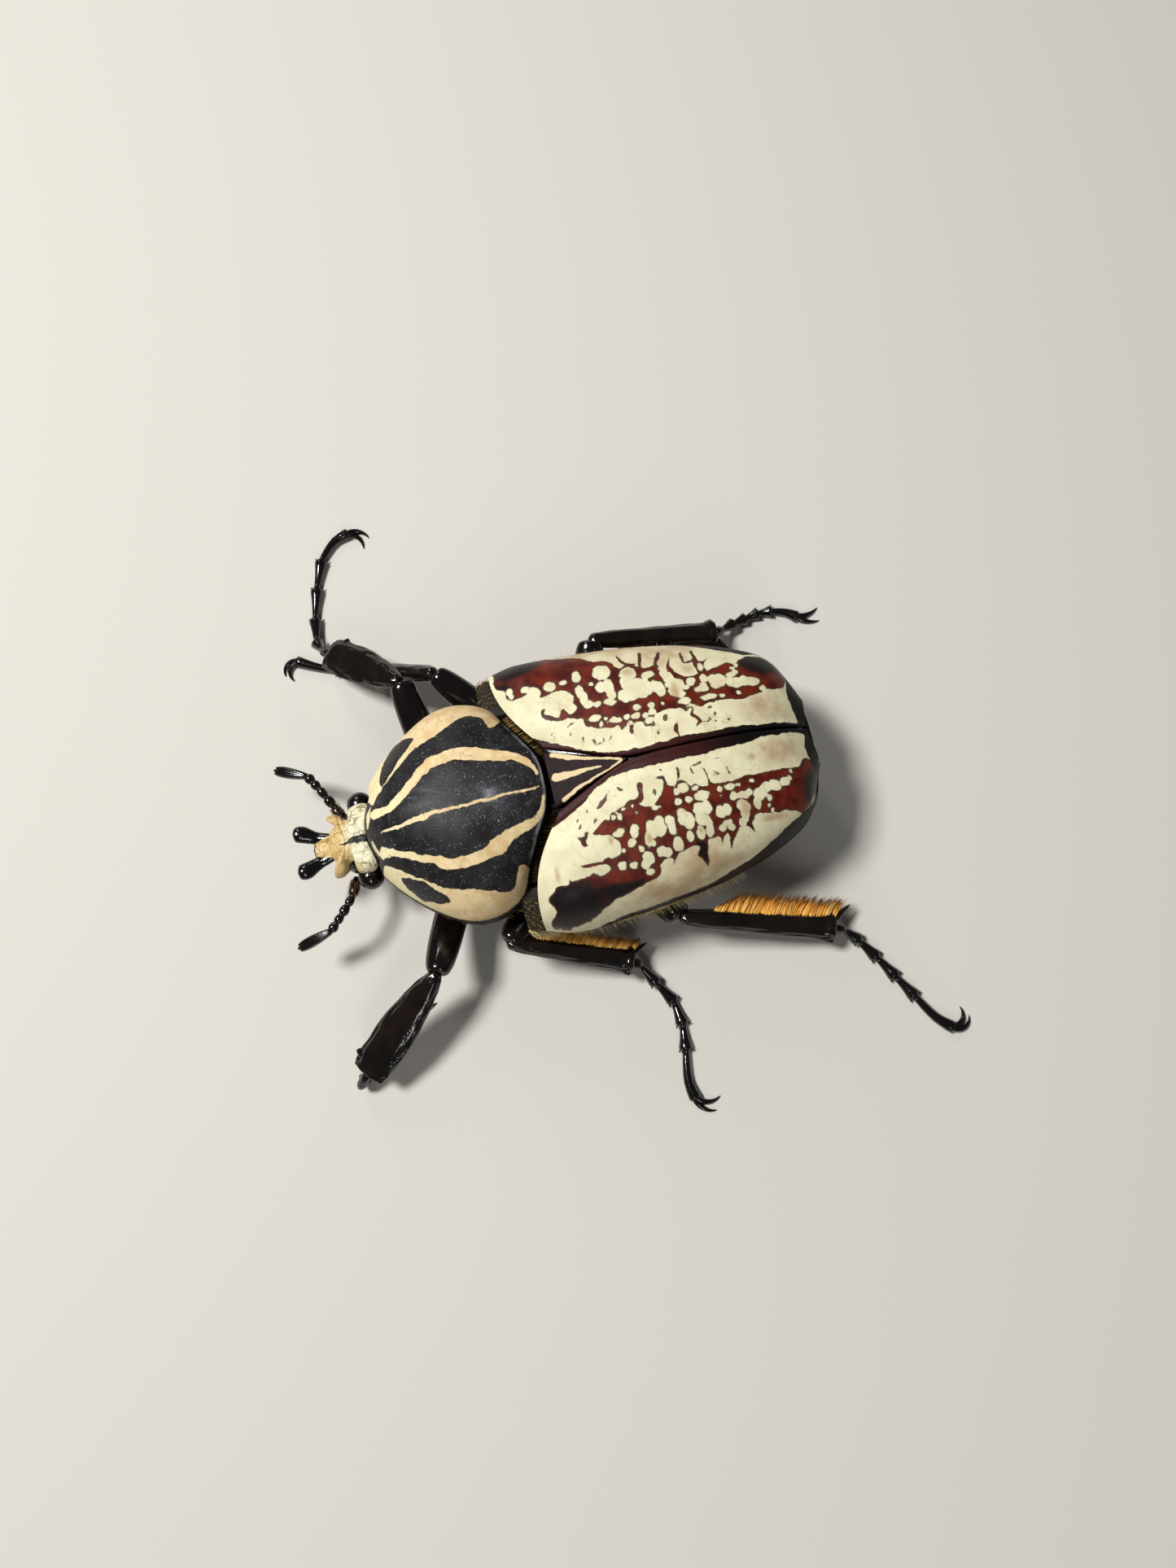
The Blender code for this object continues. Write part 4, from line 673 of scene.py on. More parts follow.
def trunk_ring(u, v, shrink=0.0):
    """Section of the trunk under the wing cases: u = 0 is the back, 0.5 the belly."""
    crest = along_curve(ELYTRON_CREST, v)
    edge = along_curve(ELYTRON_EDGE, v)
    belly = along_curve(BELLY, v)
    side = 1.0 if u <= 0.5 else -1.0
    turn = (u if u <= 0.5 else 1.0 - u) * 2 * math.pi
    top = (0.0, max(crest[1], TRUNK_FRONT), crest[2] - SHELL_INSET)
    rim_y = edge[1] + SHELL_INSET * (1 - v) - TRUNK_TAIL_INSET * v
    rim = (edge[0] - SHELL_INSET, rim_y, edge[2] - TRUNK_RIM_DROP)
    if turn <= math.pi / 2:
        far, power = top, ELYTRON_POWER
    else:
        far, power = belly, BELLY_POWER
    reach = max(math.sin(turn), 0.0) ** (2 / power)
    rise = abs(math.cos(turn)) ** (2 / power)
    y = far[1] + (rim[1] - far[1]) * reach
    z = rim[2] + (far[2] - rim[2]) * rise
    middle_y, middle_z = (crest[1] + belly[1]) / 2, (top[2] + belly[2]) / 2
    grow = 1.0 - shrink
    return (side * rim[0] * reach * grow, middle_y + (y - middle_y) * grow, middle_z + (z - middle_z) * grow)


def pronotum_surface(u, v):
    """Prothorax: v = 0 is the top of the dome, 0.5 its rim and 1 the underside's middle."""
    rim = round_rim(PRONOTUM_RIM, u)
    under = v > 0.5
    turn = (1.0 - v if under else v) * math.pi
    end_wall = abs(math.cos(2 * math.pi * u)) ** 4
    far = PRONOTUM_BASE if under else PRONOTUM_TOP
    power = CHEST_POWER + CHEST_END_POWER * end_wall if under else PRONOTUM_POWER
    reach = math.sin(turn) ** (2 / power)
    rise = max(math.cos(turn), 0.0) ** (2 / power)
    return yawed((
        far[0] + (rim[0] - far[0]) * reach,
        far[1] + (rim[1] - far[1]) * reach,
        rim[2] + (far[2] - rim[2]) * rise,
    ))


def head_plate_surface(u, v):
    """Cream plate over the head, with its ear-like lobes: a low dome over a flat underside."""
    rim = round_rim(HEAD_RIM, u)
    under = v > 0.5
    turn = (1.0 - v if under else v) * math.pi
    reach = math.sin(turn)
    rise = max(math.cos(turn), 0.0)
    top = HEAD_TOP[2] - HEAD_PLATE_THICK - HEAD_HOLLOW if under else HEAD_TOP[2]
    thick = HEAD_PLATE_THICK * (1.0 - reach ** 8) if under else 0.0
    return yawed((
        HEAD_TOP[0] + (rim[0] - HEAD_TOP[0]) * reach,
        HEAD_TOP[1] + (rim[1] - HEAD_TOP[1]) * reach,
        rim[2] + (top - rim[2]) * rise - thick,
    ))


def from_segment(x, y, start, end):
    """Distance of each point from a straight line, and how far along it the nearest place is."""
    run_x, run_y = end[0] - start[0], end[1] - start[1]
    along = ((x - start[0]) * run_x + (y - start[1]) * run_y) / max(run_x ** 2 + run_y ** 2, TINY)
    along = np.clip(along, 0.0, 1.0)
    return np.hypot(x - start[0] - along * run_x, y - start[1] - along * run_y), along


def in_outline(x, y, corners):
    """Signed distance in mm of each point from a smooth outline through the corners, positive inside."""
    fine = [loop_value(corners, i, k / CURVE_STEPS) for i in range(len(corners)) for k in range(CURVE_STEPS)]
    nearest = np.full(len(x), FAR)
    inside = np.zeros(len(x), bool)
    for start, end in zip(fine, fine[1:] + fine[:1]):
        nearest = np.minimum(nearest, from_segment(x, y, start, end)[0])
        crosses = (start[1] > y) != (end[1] > y)
        rise = end[1] - start[1]
        inside ^= crosses & (x < (end[0] - start[0]) * (y - start[1]) / (rise if rise else TINY) + start[0])
    return np.where(inside, nearest, -nearest)


def in_spots(x, y, spots):
    """Signed distance in mm of each point from the nearest oval (x, y, half width, half length)."""
    best = np.full(len(x), -FAR)
    for at_x, at_y, wide, long in spots:
        off = np.hypot((x - at_x) / wide, (y - at_y) / long)
        best = np.maximum(best, (1.0 - off) * min(wide, long))
    return best


def in_ovals(x, y, ovals, core=1.0):
    """Field that falls by 1 from core, at an oval's middle, to the oval's edge."""
    return np.max([core - np.hypot((x - a) / w, (y - b) / h) for a, b, w, h in ovals], axis=0)


def in_lines(x, y, lines):
    """Signed distance in mm of each point from smooth lines whose points are (x, y, full width)."""
    best = np.full(len(x), -FAR)
    for line in lines:
        places = [(i, k / CURVE_STEPS) for i in range(len(line) - 1) for k in range(CURVE_STEPS)]
        fine = [*[curve_value(line, i, f) for i, f in places], line[-1]]
        for start, end in zip(fine, fine[1:]):
            off, along = from_segment(x, y, start, end)
            best = np.maximum(best, (start[2] + (end[2] - start[2]) * along) / 2 - off)
    return best


def ramp(values, low, high):
    """Share, 0 to 1, of the way from low to high."""
    return np.clip((values - low) / (high - low), 0.0, 1.0)


def read_off(places, table):
    """Values of a table (place, value) at the places."""
    return np.interp(places, *zip(*table))


def ground(obj):
    """Body-frame x and y of a mesh's points and their normals' z, as arrays."""
    count = len(obj.data.vertices)
    place = np.empty(count * 3)
    obj.data.vertices.foreach_get("co", place)
    place = place.reshape(count, 3) / MM - np.array((BODY_X, BODY_Y, 0.0))
    facing = np.empty(count * 3)
    obj.data.vertices.foreach_get("normal", facing)
    return place[:, 0], place[:, 1], facing.reshape(count, 3)[:, 2]


def swayed(x, y, sways):
    """Points moved about by smooth noise (amount, spacing), so that edges laid on them look grown."""
    for amount, spacing in sways:
        moves = [noise.noise_vector(Vector((a / spacing, b / spacing, 3.0))) for a, b in zip(x, y)]
        moves = np.array([(move.x, move.y) for move in moves])
        x, y = x + moves[:, 0] * amount, y + moves[:, 1] * amount
    return x, y


def paint(obj, **fields):
    """Lay fields on a mesh's points for its material to read."""
    for name, values in fields.items():
        layer = obj.data.attributes.new(name, "FLOAT", "POINT")
        layer.data.foreach_set("value", np.asarray(values, dtype=np.float32))


def mark_elytron(obj, side):
    """Patches, spots, net lines, flecks, margins and stains of one wing case; the broad stains on the outer
    slopes add painted shade, and the outer black margin at the rear adds painted shadow.
    """
    x, y, _ = ground(obj)
    x = x * side
    across, along = swayed(x, y, ELYTRON_SWAY)
    patches, lines, spots = ELYTRON_MARKS[side]
    dark = np.max([in_outline(across, along, patch) for patch in patches], axis=0)
    dark = np.minimum(dark, -in_spots(across, along, spots))
    dark = np.maximum(dark, in_lines(across, along, lines))
    band = read_off(along, INNER_BAND[side]) - across
    # Outer black margin, which at the rear also stands for painted shadow beside the shell
    margin_and_shadow = x + MARGIN_SWAY * (across - x) - read_off(along, OUTER_MARGIN_AND_SHADOW[side])
    apex = along - read_off(across, APEX[side])
    fleck = np.full(len(x), -FAR)
    for at_x, at_y, long, wide, turn in FLECKS[side]:
        turn = math.radians(turn)
        run = (across - at_x) * math.cos(turn) + (along - at_y) * math.sin(turn)
        off = (along - at_y) * math.cos(turn) - (across - at_x) * math.sin(turn)
        fleck = np.maximum(fleck, (1.0 - np.hypot(run / long, off / wide)) * wide)
    paint(
        obj, dark=dark, rim=np.maximum.reduce([band, margin_and_shadow, apex]), fleck=fleck,
        red=1.0 - ramp(in_ovals(x, y, CHARCOAL[side]), -0.15, 0.25),
        red_rim=ramp(band, -0.2, 0.2) * ramp(RED_BAND_END - y, 0.0, 6.0),
        stain=np.clip(in_ovals(x, y, STAINS_AND_SHADE[side], STAIN_AND_SHADE_CORE), 0.0, STAIN_AND_SHADE_CORE),
        tucked=margin_and_shadow - read_off(along, TUCKED_EDGE),
    )


def mark_pronotum(obj):
    """Stripes, cream margins, grey dust with a painted bluish sheen, and black rim of the pronotum."""
    x, y, facing = ground(obj)
    across, along = swayed(x, y, PRONOTUM_SWAY)
    cream = in_lines(across, along, PRONOTUM_LINES)
    for side in (1, -1):
        region = in_outline(across * side, along, PRONOTUM_MARGIN[side])
        cream = np.maximum(cream, np.minimum(region, -in_outline(across * side, along, PRONOTUM_LENS[side])))
    inset = in_outline(*unyawed(x, y), [point[:2] for point in whole_rim(PRONOTUM_RIM)])
    # Painted bluish sheen mixed with dust in the middle, and a grey line of dust along the rear edge
    at_x, at_y, wide, long = DUST_AND_SHEEN_OVAL
    dust = 0.8 * np.maximum(0.0, 1.0 - np.hypot((x - at_x) / wide, (y - at_y) / long))
    dust = np.maximum(dust, 1.1 * ramp(0.65 - inset, 0.0, 0.4) * ramp(y, -4.5, -2.5))
    paint(obj, cream=np.minimum(cream, 0.6 * (facing + 0.35)), rim=RIM_WIDTH - inset, dust=dust,
          pale=ramp(-y, 9.0, 16.0))


def mark_scutellum(obj):
    """Cream lines of the scutellum."""
    x, y, facing = ground(obj)
    cream = in_lines(*swayed(x, y, SCUTELLUM_SWAY), SCUTELLUM_LINES)
    paint(obj, cream=np.minimum(cream, facing - 0.2))


def mark_head(obj):
    """Black wedge and tan front of the head plate."""
    x, y, facing = ground(obj)
    wedge = in_outline(*swayed(x, y, HEAD_SWAY), HEAD_WEDGE)
    paint(obj, black=np.maximum(wedge, -facing - 0.1), tan=TAN_FRONT - y + 0.25 * np.abs(x + 0.5))


def mark_horn(obj):
    """Black arms and knobs of the horn."""
    x, y, facing = ground(obj)
    arms = np.abs(unyawed(x, y)[0]) - read_off(-y, HORN_STEM_EDGE)
    paint(obj, black=np.maximum.reduce([arms, HORN_STEM_FRONT - y, -0.3 - facing]))


def node(tree, kind, inputs=None, **settings):
    """Shader node with its settings, and its inputs as values or as sockets to link from."""
    fresh = tree.nodes.new(kind)
    for key, value in settings.items():
        setattr(fresh, key, value)
    for key, value in (inputs or {}).items():
        socket = fresh.inputs[key]
        if isinstance(value, bpy.types.NodeSocket):
            tree.links.new(value, socket)
        else:
            socket.default_value = value
    return fresh


def surface_start(name, roughness, specular=0.5, ior=1.56):
    """Fresh material, its tree and shader, and the place on the object."""
    made_of = bpy.data.materials.new(name)
    made_of.use_nodes = True
    tree = made_of.node_tree
    shader = tree.nodes["Principled BSDF"]
    shader.inputs["Roughness"].default_value = roughness
    shader.inputs["Specular IOR Level"].default_value = specular
    shader.inputs["IOR"].default_value = ior
    return made_of, tree, shader, node(tree, "ShaderNodeTexCoord").outputs["Object"]


def grain(tree, place, spacing, detail=2.0):
    """Cloudy noise about 0.5 whose lumps are spacing millimetres apart."""
    cloud = node(tree, "ShaderNodeTexNoise", {"Vector": place, "Scale": 1 / (spacing * MM), "Detail": detail})
    return cloud.outputs[0]


def above(tree, field, low, soft):
    """Mask that is 1 where a field is above low, and blurred by soft to either side."""
    return node(tree, "ShaderNodeMapRange", {
        "Value": field, "From Min": low - soft, "From Max": low + soft,
    }, interpolation_type="SMOOTHSTEP").outputs[0]


def within(tree, field, wobble, reach, soft=0.05, low=0.0):
    """Mask that is 1 where a field in mm is above low, with an edge moved by up to half of reach."""
    moved = node(tree, "ShaderNodeMath", {0: wobble, 1: reach, 2: field}, operation="MULTIPLY_ADD").outputs[0]
    return above(tree, moved, low + reach / 2, soft)


def product(tree, first, second):
    """One field times another."""
    return node(tree, "ShaderNodeMath", {0: first, 1: second}, operation="MULTIPLY").outputs[0]


def between(tree, share, low, high):
    """Value that goes from low to high with a share."""
    return node(tree, "ShaderNodeMapRange", {"Value": share, "To Min": low, "To Max": high}).outputs[0]


def blended(tree, share, under, over):
    """Colour over on colour under where the share is 1; colours are sRGB hex values or sockets."""
    under, over = (linear(c) if isinstance(c, str) else c for c in (under, over))
    return node(tree, "ShaderNodeMix", {0: share, 6: under, 7: over}, data_type="RGBA").outputs[2]


def mottled(tree, cloud, soft, first, second):
    """Two shades of one ground, parted by cloudy noise."""
    return blended(tree, above(tree, cloud, 0.5, soft), first, second)


def painted(tree, name):
    """Field that paint() laid on the piece's points."""
    return node(tree, "ShaderNodeAttribute", attribute_name=name).outputs["Fac"]


def pitted(tree, shader, place, spacing, depth, lumps=0.0):
    """Fine punctures, spacing mm apart and depth mm deep, in the shader's normal."""
    cells = node(tree, "ShaderNodeTexVoronoi", {"Vector": place, "Scale": 1 / (spacing * MM)})
    rise = node(tree, "ShaderNodeMapRange", {
        "Value": cells.outputs["Distance"], "From Min": 0.12, "From Max": 0.42,
    }).outputs[0]
    if lumps:
        wave = grain(tree, place, spacing * 3.5, 3.0)
        rise = node(tree, "ShaderNodeMath", {0: wave, 1: lumps, 2: rise}, operation="MULTIPLY_ADD").outputs[0]
    relief = node(tree, "ShaderNodeBump", {"Height": rise, "Distance": depth * MM, "Strength": 1.0})
    tree.links.new(relief.outputs[0], shader.inputs["Normal"])


def streaks(tree, place, along, spacing, low):
    """Mask of fine scratches that run one way: noise pressed together across that way."""
    stretched = node(tree, "ShaderNodeMapping", {"Vector": place, "Scale": along}).outputs[0]
    return above(tree, grain(tree, stretched, spacing, 3.0), low, 0.03)


def cracks(tree, place, spacing, width):
    """Mask of a net of fine cracks, about spacing mm apart, broken up by noise."""
    scale = 1 / (spacing * MM)
    noisy = node(tree, "ShaderNodeTexNoise", {"Vector": place, "Scale": scale, "Detail": 3.0})
    bent = node(tree, "ShaderNodeVectorMath", {
        0: noisy.outputs[1], 1: (spacing * MM,) * 3, 2: place,
    }, operation="MULTIPLY_ADD")
    cells = node(tree, "ShaderNodeTexVoronoi", {
        "Vector": bent.outputs[0], "Scale": scale,
    }, feature="DISTANCE_TO_EDGE").outputs["Distance"]
    thin = node(tree, "ShaderNodeMapRange", {
        "Value": cells, "From Max": width, "To Min": 1.0, "To Max": 0.0,
    }).outputs[0]
    return product(tree, thin, above(tree, grain(tree, place, spacing * 1.7, 2.0), 0.5, 0.12))


def elytron_chitin():
    """Waxy cream wing case over maroon cuticle: satin, with crisp wavy patches and thin olive cracks."""
    made_of, tree, shader, place = surface_start("chitin_wing_case", 0.4, 0.12)
    wobble = grain(tree, place, 0.3, 3.0)
    cloud = grain(tree, place, 1.6, 3.0)
    fine = grain(tree, place, 0.14)
    dark = painted(tree, "dark")
    patch = within(tree, dark, wobble, 0.12)
    core = within(tree, dark, wobble, 0.12, 0.1, 0.12)
    rim = within(tree, painted(tree, "rim"), wobble, 0.14)
    fleck = within(tree, painted(tree, "fleck"), wobble, 0.1, 0.04)
    # Tan stains, the broad ones along the outer slopes standing for painted shade
    stain = above(tree, product(tree, painted(tree, "stain"), cloud), 0.3, 0.3)
    cream = mottled(tree, cloud, 0.16, "#E2DCB8", "#D7CEA9")
    cream = blended(tree, stain, cream, "#B9A07C")
    cream = blended(tree, above(tree, fine, 0.72, 0.05), cream, "#C2B184")
    cream = blended(tree, cracks(tree, place, 1.5, 0.022), cream, "#BBAC82")
    maroon = mottled(tree, cloud, 0.14, "#4A140F", "#6E2616")
    dull = blended(tree, within(tree, painted(tree, "red"), cloud, 0.7, 0.6, 0.55), "#181314", maroon)
    dull = blended(tree, above(tree, fine, 0.68, 0.06), dull, "#4A2A24")
    colour = blended(tree, patch, cream, blended(tree, core, "#4A3324", dull))
    colour = blended(tree, fleck, colour, "#5D5740")
    # Black inner band, outer margin and tip; at the rear the outer black also stands for painted shadow
    # beside the shell
    colour = blended(tree, rim, colour, blended(tree, painted(tree, "red_rim"), "#100C0B", "#3A1614"))
    belly_edge = mottled(tree, cloud, 0.12, "#8F7444", "#C2A86E")
    colour = blended(tree, within(tree, painted(tree, "tucked"), wobble, 0.3), colour, belly_edge)
    tree.links.new(colour, shader.inputs["Base Color"])
    tree.links.new(between(tree, patch, 0.5, 0.4), shader.inputs["Roughness"])
    pitted(tree, shader, place, 0.5, 0.008, 0.9)
    return made_of


def pronotum_chitin():
    """Velvety black cuticle with tan-cream stripes: nearly matt, with grey dust and a painted bluish sheen in
    the middle, finely scratched.
    """
    made_of, tree, shader, place = surface_start("chitin_pronotum", 0.46, 0.16)
    wobble = grain(tree, place, 0.35, 3.0)
    cloud = grain(tree, place, 1.3, 4.0)
    fine = grain(tree, place, 0.16)
    stripe = within(tree, painted(tree, "cream"), wobble, 0.16)
    cream = mottled(tree, cloud, 0.14, "#E2CC9E", "#D4B582")
    cream = blended(tree, within(tree, painted(tree, "pale"), cloud, 0.5, 0.3, 0.5), cream, "#E2D6A8")
    cream = blended(tree, above(tree, fine, 0.7, 0.05), cream, "#B58E58")
    cream = blended(tree, cracks(tree, place, 1.25, 0.028), cream, "#AC8E62")
    black = mottled(tree, cloud, 0.12, "#1A1718", "#242325")
    black = blended(tree, streaks(tree, place, (0.35, 2.2, 1.0), 0.5, 0.66), black, "#37363A")
    black = blended(tree, streaks(tree, place, (1.8, 0.3, 1.0), 0.6, 0.7), black, "#45454B")
    # The bluish grey is a painted sheen over dust in the middle; the paler grey is mostly the dust along the
    # rear edge
    dusty = product(tree, painted(tree, "dust"), cloud)
    black = blended(tree, within(tree, dusty, fine, 0.7, 0.25, 0.4), black, "#4E4E55")
    black = blended(tree, within(tree, dusty, fine, 0.3, 0.15, 0.48), black, "#84878A")
    black = blended(tree, above(tree, fine, 0.7, 0.03), black, "#A39C8C")
    colour = blended(tree, stripe, black, cream)
    colour = blended(tree, within(tree, painted(tree, "rim"), wobble, 0.1), colour, "#100D0C")
    tree.links.new(colour, shader.inputs["Base Color"])
    tree.links.new(between(tree, stripe, 0.44, 0.58), shader.inputs["Roughness"])
    pitted(tree, shader, place, 0.3, 0.006, 1.6)
    return made_of


def scutellum_chitin():
    """Dark maroon plate with cream lines, satin."""
    made_of, tree, shader, place = surface_start("chitin_scutellum", 0.5, 0.08)
    dark = mottled(tree, grain(tree, place, 0.6, 4.0), 0.15, "#120808", "#270D0F")
    line = within(tree, painted(tree, "cream"), grain(tree, place, 0.3, 3.0), 0.12)
    tree.links.new(blended(tree, line, dark, "#DCC79A"), shader.inputs["Base Color"])
    pitted(tree, shader, place, 0.4, 0.008, 0.8)
    return made_of


def head_chitin():
    """Cream plate, satin and finely crackled, that turns tan towards the horn."""
    made_of, tree, shader, place = surface_start("chitin_head", 0.5)
    cloud = grain(tree, place, 0.9, 4.0)
    cream = mottled(tree, cloud, 0.14, "#E4DFBE", "#D8CFA4")
    cream = blended(tree, within(tree, painted(tree, "tan"), cloud, 1.4, 0.5), cream, "#D4B476")
    cream = blended(tree, cracks(tree, place, 0.8, 0.11), cream, "#6E6038")
    black = within(tree, painted(tree, "black"), grain(tree, place, 0.3, 3.0), 0.18)
    tree.links.new(blended(tree, black, cream, "#120E0C"), shader.inputs["Base Color"])
    pitted(tree, shader, place, 0.5, 0.02, 1.0)
    return made_of


def horn_chitin():
    """Tan satin horn stem between glossy black arms and knobs."""
    made_of, tree, shader, place = surface_start("chitin_horn", 0.42)
    black = within(tree, painted(tree, "black"), grain(tree, place, 0.3, 3.0), 0.2)
    tree.links.new(between(tree, black, 0.5, 0.14), shader.inputs["Roughness"])
    tan = mottled(tree, grain(tree, place, 0.8, 4.0), 0.14, "#D0B270", "#BC9856")
    tan = blended(tree, cracks(tree, place, 0.6, 0.11), tan, "#7F602F")
    tree.links.new(blended(tree, black, tan, "#0A0807"), shader.inputs["Base Color"])
    pitted(tree, shader, place, 0.3, 0.01, 1.0)
    return made_of


def black_chitin(name, code, warm, roughness, spacing, depth, specular=0.5):
    """Hard glossy cuticle, black with a warm tint in places, whose fine pits break its highlights."""
    made_of, tree, shader, place = surface_start(name, roughness, specular)
    tree.links.new(mottled(tree, grain(tree, place, 1.8, 3.0), 0.2, code, warm), shader.inputs["Base Color"])
    pitted(tree, shader, place, spacing, depth, 1.5)
    return made_of


def eye_gloss():
    """Nearly black eye, very glossy, with facets drawn 0.12 mm apart, coarser than life so that they show."""
    made_of, tree, shader, place = surface_start("chitin_eye_facets", 0.12)
    shader.inputs["Base Color"].default_value = linear("#0E0504")
    pitted(tree, shader, place, 0.12, 0.006)
    return made_of


def chitin_hair(name, root, tip, odd):
    """Stiff hair with a soft sheen that changes from root to tip, and some strands of another shade."""
    made_of, tree, shader, _ = surface_start(name, 0.5, 0.3, 1.55)
    colour = blended(tree, painted(tree, "run"), root, tip)
    colour = blended(tree, above(tree, painted(tree, "tint"), 0.7, 0.25), colour, odd)
    tree.links.new(colour, shader.inputs["Base Color"])
    return made_of


SHELL_PRONOTUM = pronotum_chitin()
SHELL_ELYTRON = elytron_chitin()
SHELL_SCUTELLUM = scutellum_chitin()
SHELL_HEAD = head_chitin()
SHELL_HORN = horn_chitin()
EYE_GLOSS = eye_gloss()
SHELL_BLACK = black_chitin("chitin_head_black", "#0B0807", "#140A07", 0.14, 0.3, 0.003)
SHELL_LEG = black_chitin("chitin_leg", "#080605", "#130A07", 0.12, 0.34, 0.005)
SHELL_SHIN = black_chitin("chitin_shin", "#090605", "#1A1009", 0.15, 0.3, 0.009)
SHELL_FOOT = black_chitin("chitin_foot", "#080606", "#100A07", 0.11, 0.4, 0.004)
SHELL_BELLY = black_chitin("chitin_belly", "#100F0A", "#1A160D", 0.24, 0.4, 0.008)
SHELL_SHOULDER = black_chitin("chitin_shoulder", "#14120A", "#262110", 0.4, 0.35, 0.01, 0.2)
HAIR_ORANGE = chitin_hair("hair_orange", "#F9BC48", "#DC8420", "#FFD27C")
HAIR_GOLD = chitin_hair("hair_gold", "#4E3818", "#8A6830", "#A8884A")
HAIR_PALE = chitin_hair("hair_pale", "#CDB67C", "#E6D7A6", "#8F7442")


def bump(x, y, at_x, at_y, wide, long):
    """Soft swelling of height 1 about a place."""
    return math.exp(-((x - at_x) / wide) ** 2 - ((y - at_y) / long) ** 2)


def elytron_relief(x, y, u, v):
    """How far the shell stands from its smooth form, in mm."""
    inner = x - along_curve(ELYTRON_CREST, v)[0]
    outer = (1.0 - u) * ELYTRON_GIRTH
    height = -ELYTRON_SETBACK + ELYTRON_WAVE * math.sin(u * math.pi * ELYTRON_WAVES) * math.sin(math.pi * v)
    for off, folds in ((inner, INNER_FOLDS), (outer, OUTER_FOLDS)):
        height += sum(tall * math.exp(-((off - place) / wide) ** 2) for tall, place, wide in folds)
    return height + sum(tall * bump(x, y, *form) for tall, *form in ELYTRON_BOSSES)


def add_wall(shell, thickness):
    """Wall below a plate's face."""
    wall = shell.modifiers.new("wall", "SOLIDIFY")
    wall.thickness = thickness * MM
    wall.offset = -1.0


def make_elytron(name, side):
    """Wing case: a curved shell with a wall of its own."""
    bm = bmesh.new()
    bmesh.ops.create_grid(bm, x_segments=ELYTRON_GRID[0], y_segments=ELYTRON_GRID[1], size=0.5)
    params = [(vert.co.x + 0.5, vert.co.y + 0.5) for vert in bm.verts]
    for vert, (u, v) in zip(bm.verts, params):
        vert.co = placed(elytron_surface(side, u, v))
    bm.normal_update()
    if sum(face.normal.z * face.calc_area() for face in bm.faces) < 0:
        bmesh.ops.reverse_faces(bm, faces=bm.faces)
        bm.normal_update()
    for vert, (u, v) in zip(bm.verts, params):
        here = body_place(vert.co)
        height = elytron_relief(abs(here.x), here.y, u, v)
        height += sum(tall * noise.noise(here / spacing) for tall, spacing in SHELL_GRAIN)
        vert.co += vert.normal * height * MM
    shell = finish("shell_" + name, bm, SHELL_ELYTRON, [name])
    add_wall(shell, ELYTRON_WALL)
    mark_elytron(shell, side)


def make_trunk(name, first, last, rows, folds):
    """Length of the trunk between two stations, with the folds of its belly plates."""
    along = rows + 2

    def surface(u, v):
        row = round(v * along)
        if row in (0, along):
            return trunk_ring(u, first if row == 0 else last, 1.0)
        t = (row - 1) / rows
        under = max(0.0, -math.cos(2 * math.pi * u)) ** 0.5 if 0.22 < u < 0.78 else 0.0
        fold = max(0.0, 1.0 - abs((t * folds) % 1.0 - FOLD_PLACE) / FOLD_WIDTH) if folds > 1 else 0.0
        return trunk_ring(u, first + (last - first) * t, FOLD_DEPTH * under * fold)

    finish("body_" + name, sheet(surface, TRUNK_COLUMNS, along), SHELL_BELLY, [name])


def make_pronotum():
    """Prothorax dome, whose rim is painted black."""
    bm = sheet(pronotum_surface, *PRONOTUM_GRID)
    mark_pronotum(finish("shell_pronotum", bm, SHELL_PRONOTUM, ["pronotum"]))


def make_scutellum():
    """Three-cornered plate between the wing cases."""
    bm = bmesh.new()
    bmesh.ops.create_grid(bm, x_segments=SCUTELLUM_GRID[0], y_segments=SCUTELLUM_GRID[1], size=0.5)
    for vert in bm.verts:
        across, along = 2.0 * vert.co.x, vert.co.y + 0.5
        x = SCUTELLUM_HALF_WIDTH * across * (1.0 - along)
        y = SCUTELLUM_FRONT + (SCUTELLUM_TIP - SCUTELLUM_FRONT) * along
        edge = max(0.0, abs(across) - 0.9) * 10.0
        drop = SCUTELLUM_CURVE * x * x + SCUTELLUM_EDGE * edge ** 2
        vert.co = placed((x, y, SCUTELLUM_HEIGHT + SCUTELLUM_SLOPE * (y - SCUTELLUM_FRONT) - drop))
    merge_close(bm)
    plate = finish("shell_scutellum", bm, SHELL_SCUTELLUM, ["scutellum"])
    add_wall(plate, SCUTELLUM_THICK)
    mark_scutellum(plate)


def make_mesepimeron(name, side):
    """Wedge plate that shows between the pronotum's rear corner and the wing case's shoulder."""
    low, high = MESEPIMERON_HEIGHTS
    bm = bmesh.new()
    bmesh.ops.create_cube(bm, size=2.0)
    for vert in bm.verts:
        x, y = MESEPIMERON_CORNERS[(round(vert.co.x), round(vert.co.y))]
        z = high if vert.co.z > 0 else low
        if vert.co.z > 0 and vert.co.x > 0:
            z -= MESEPIMERON_SLOPE
        if vert.co.z < 0:
            x -= MESEPIMERON_SLOPE
        vert.co = placed((side * x, y, z))
    if side < 0:
        bmesh.ops.reverse_faces(bm, faces=bm.faces)
    bmesh.ops.bevel(
        bm, geom=bm.edges[:], offset=MESEPIMERON_EDGE * MM, affect="EDGES", segments=6, profile=0.5,
        material=-1,
    )
    finish("plate_" + name, bm, SHELL_SHOULDER, [name])


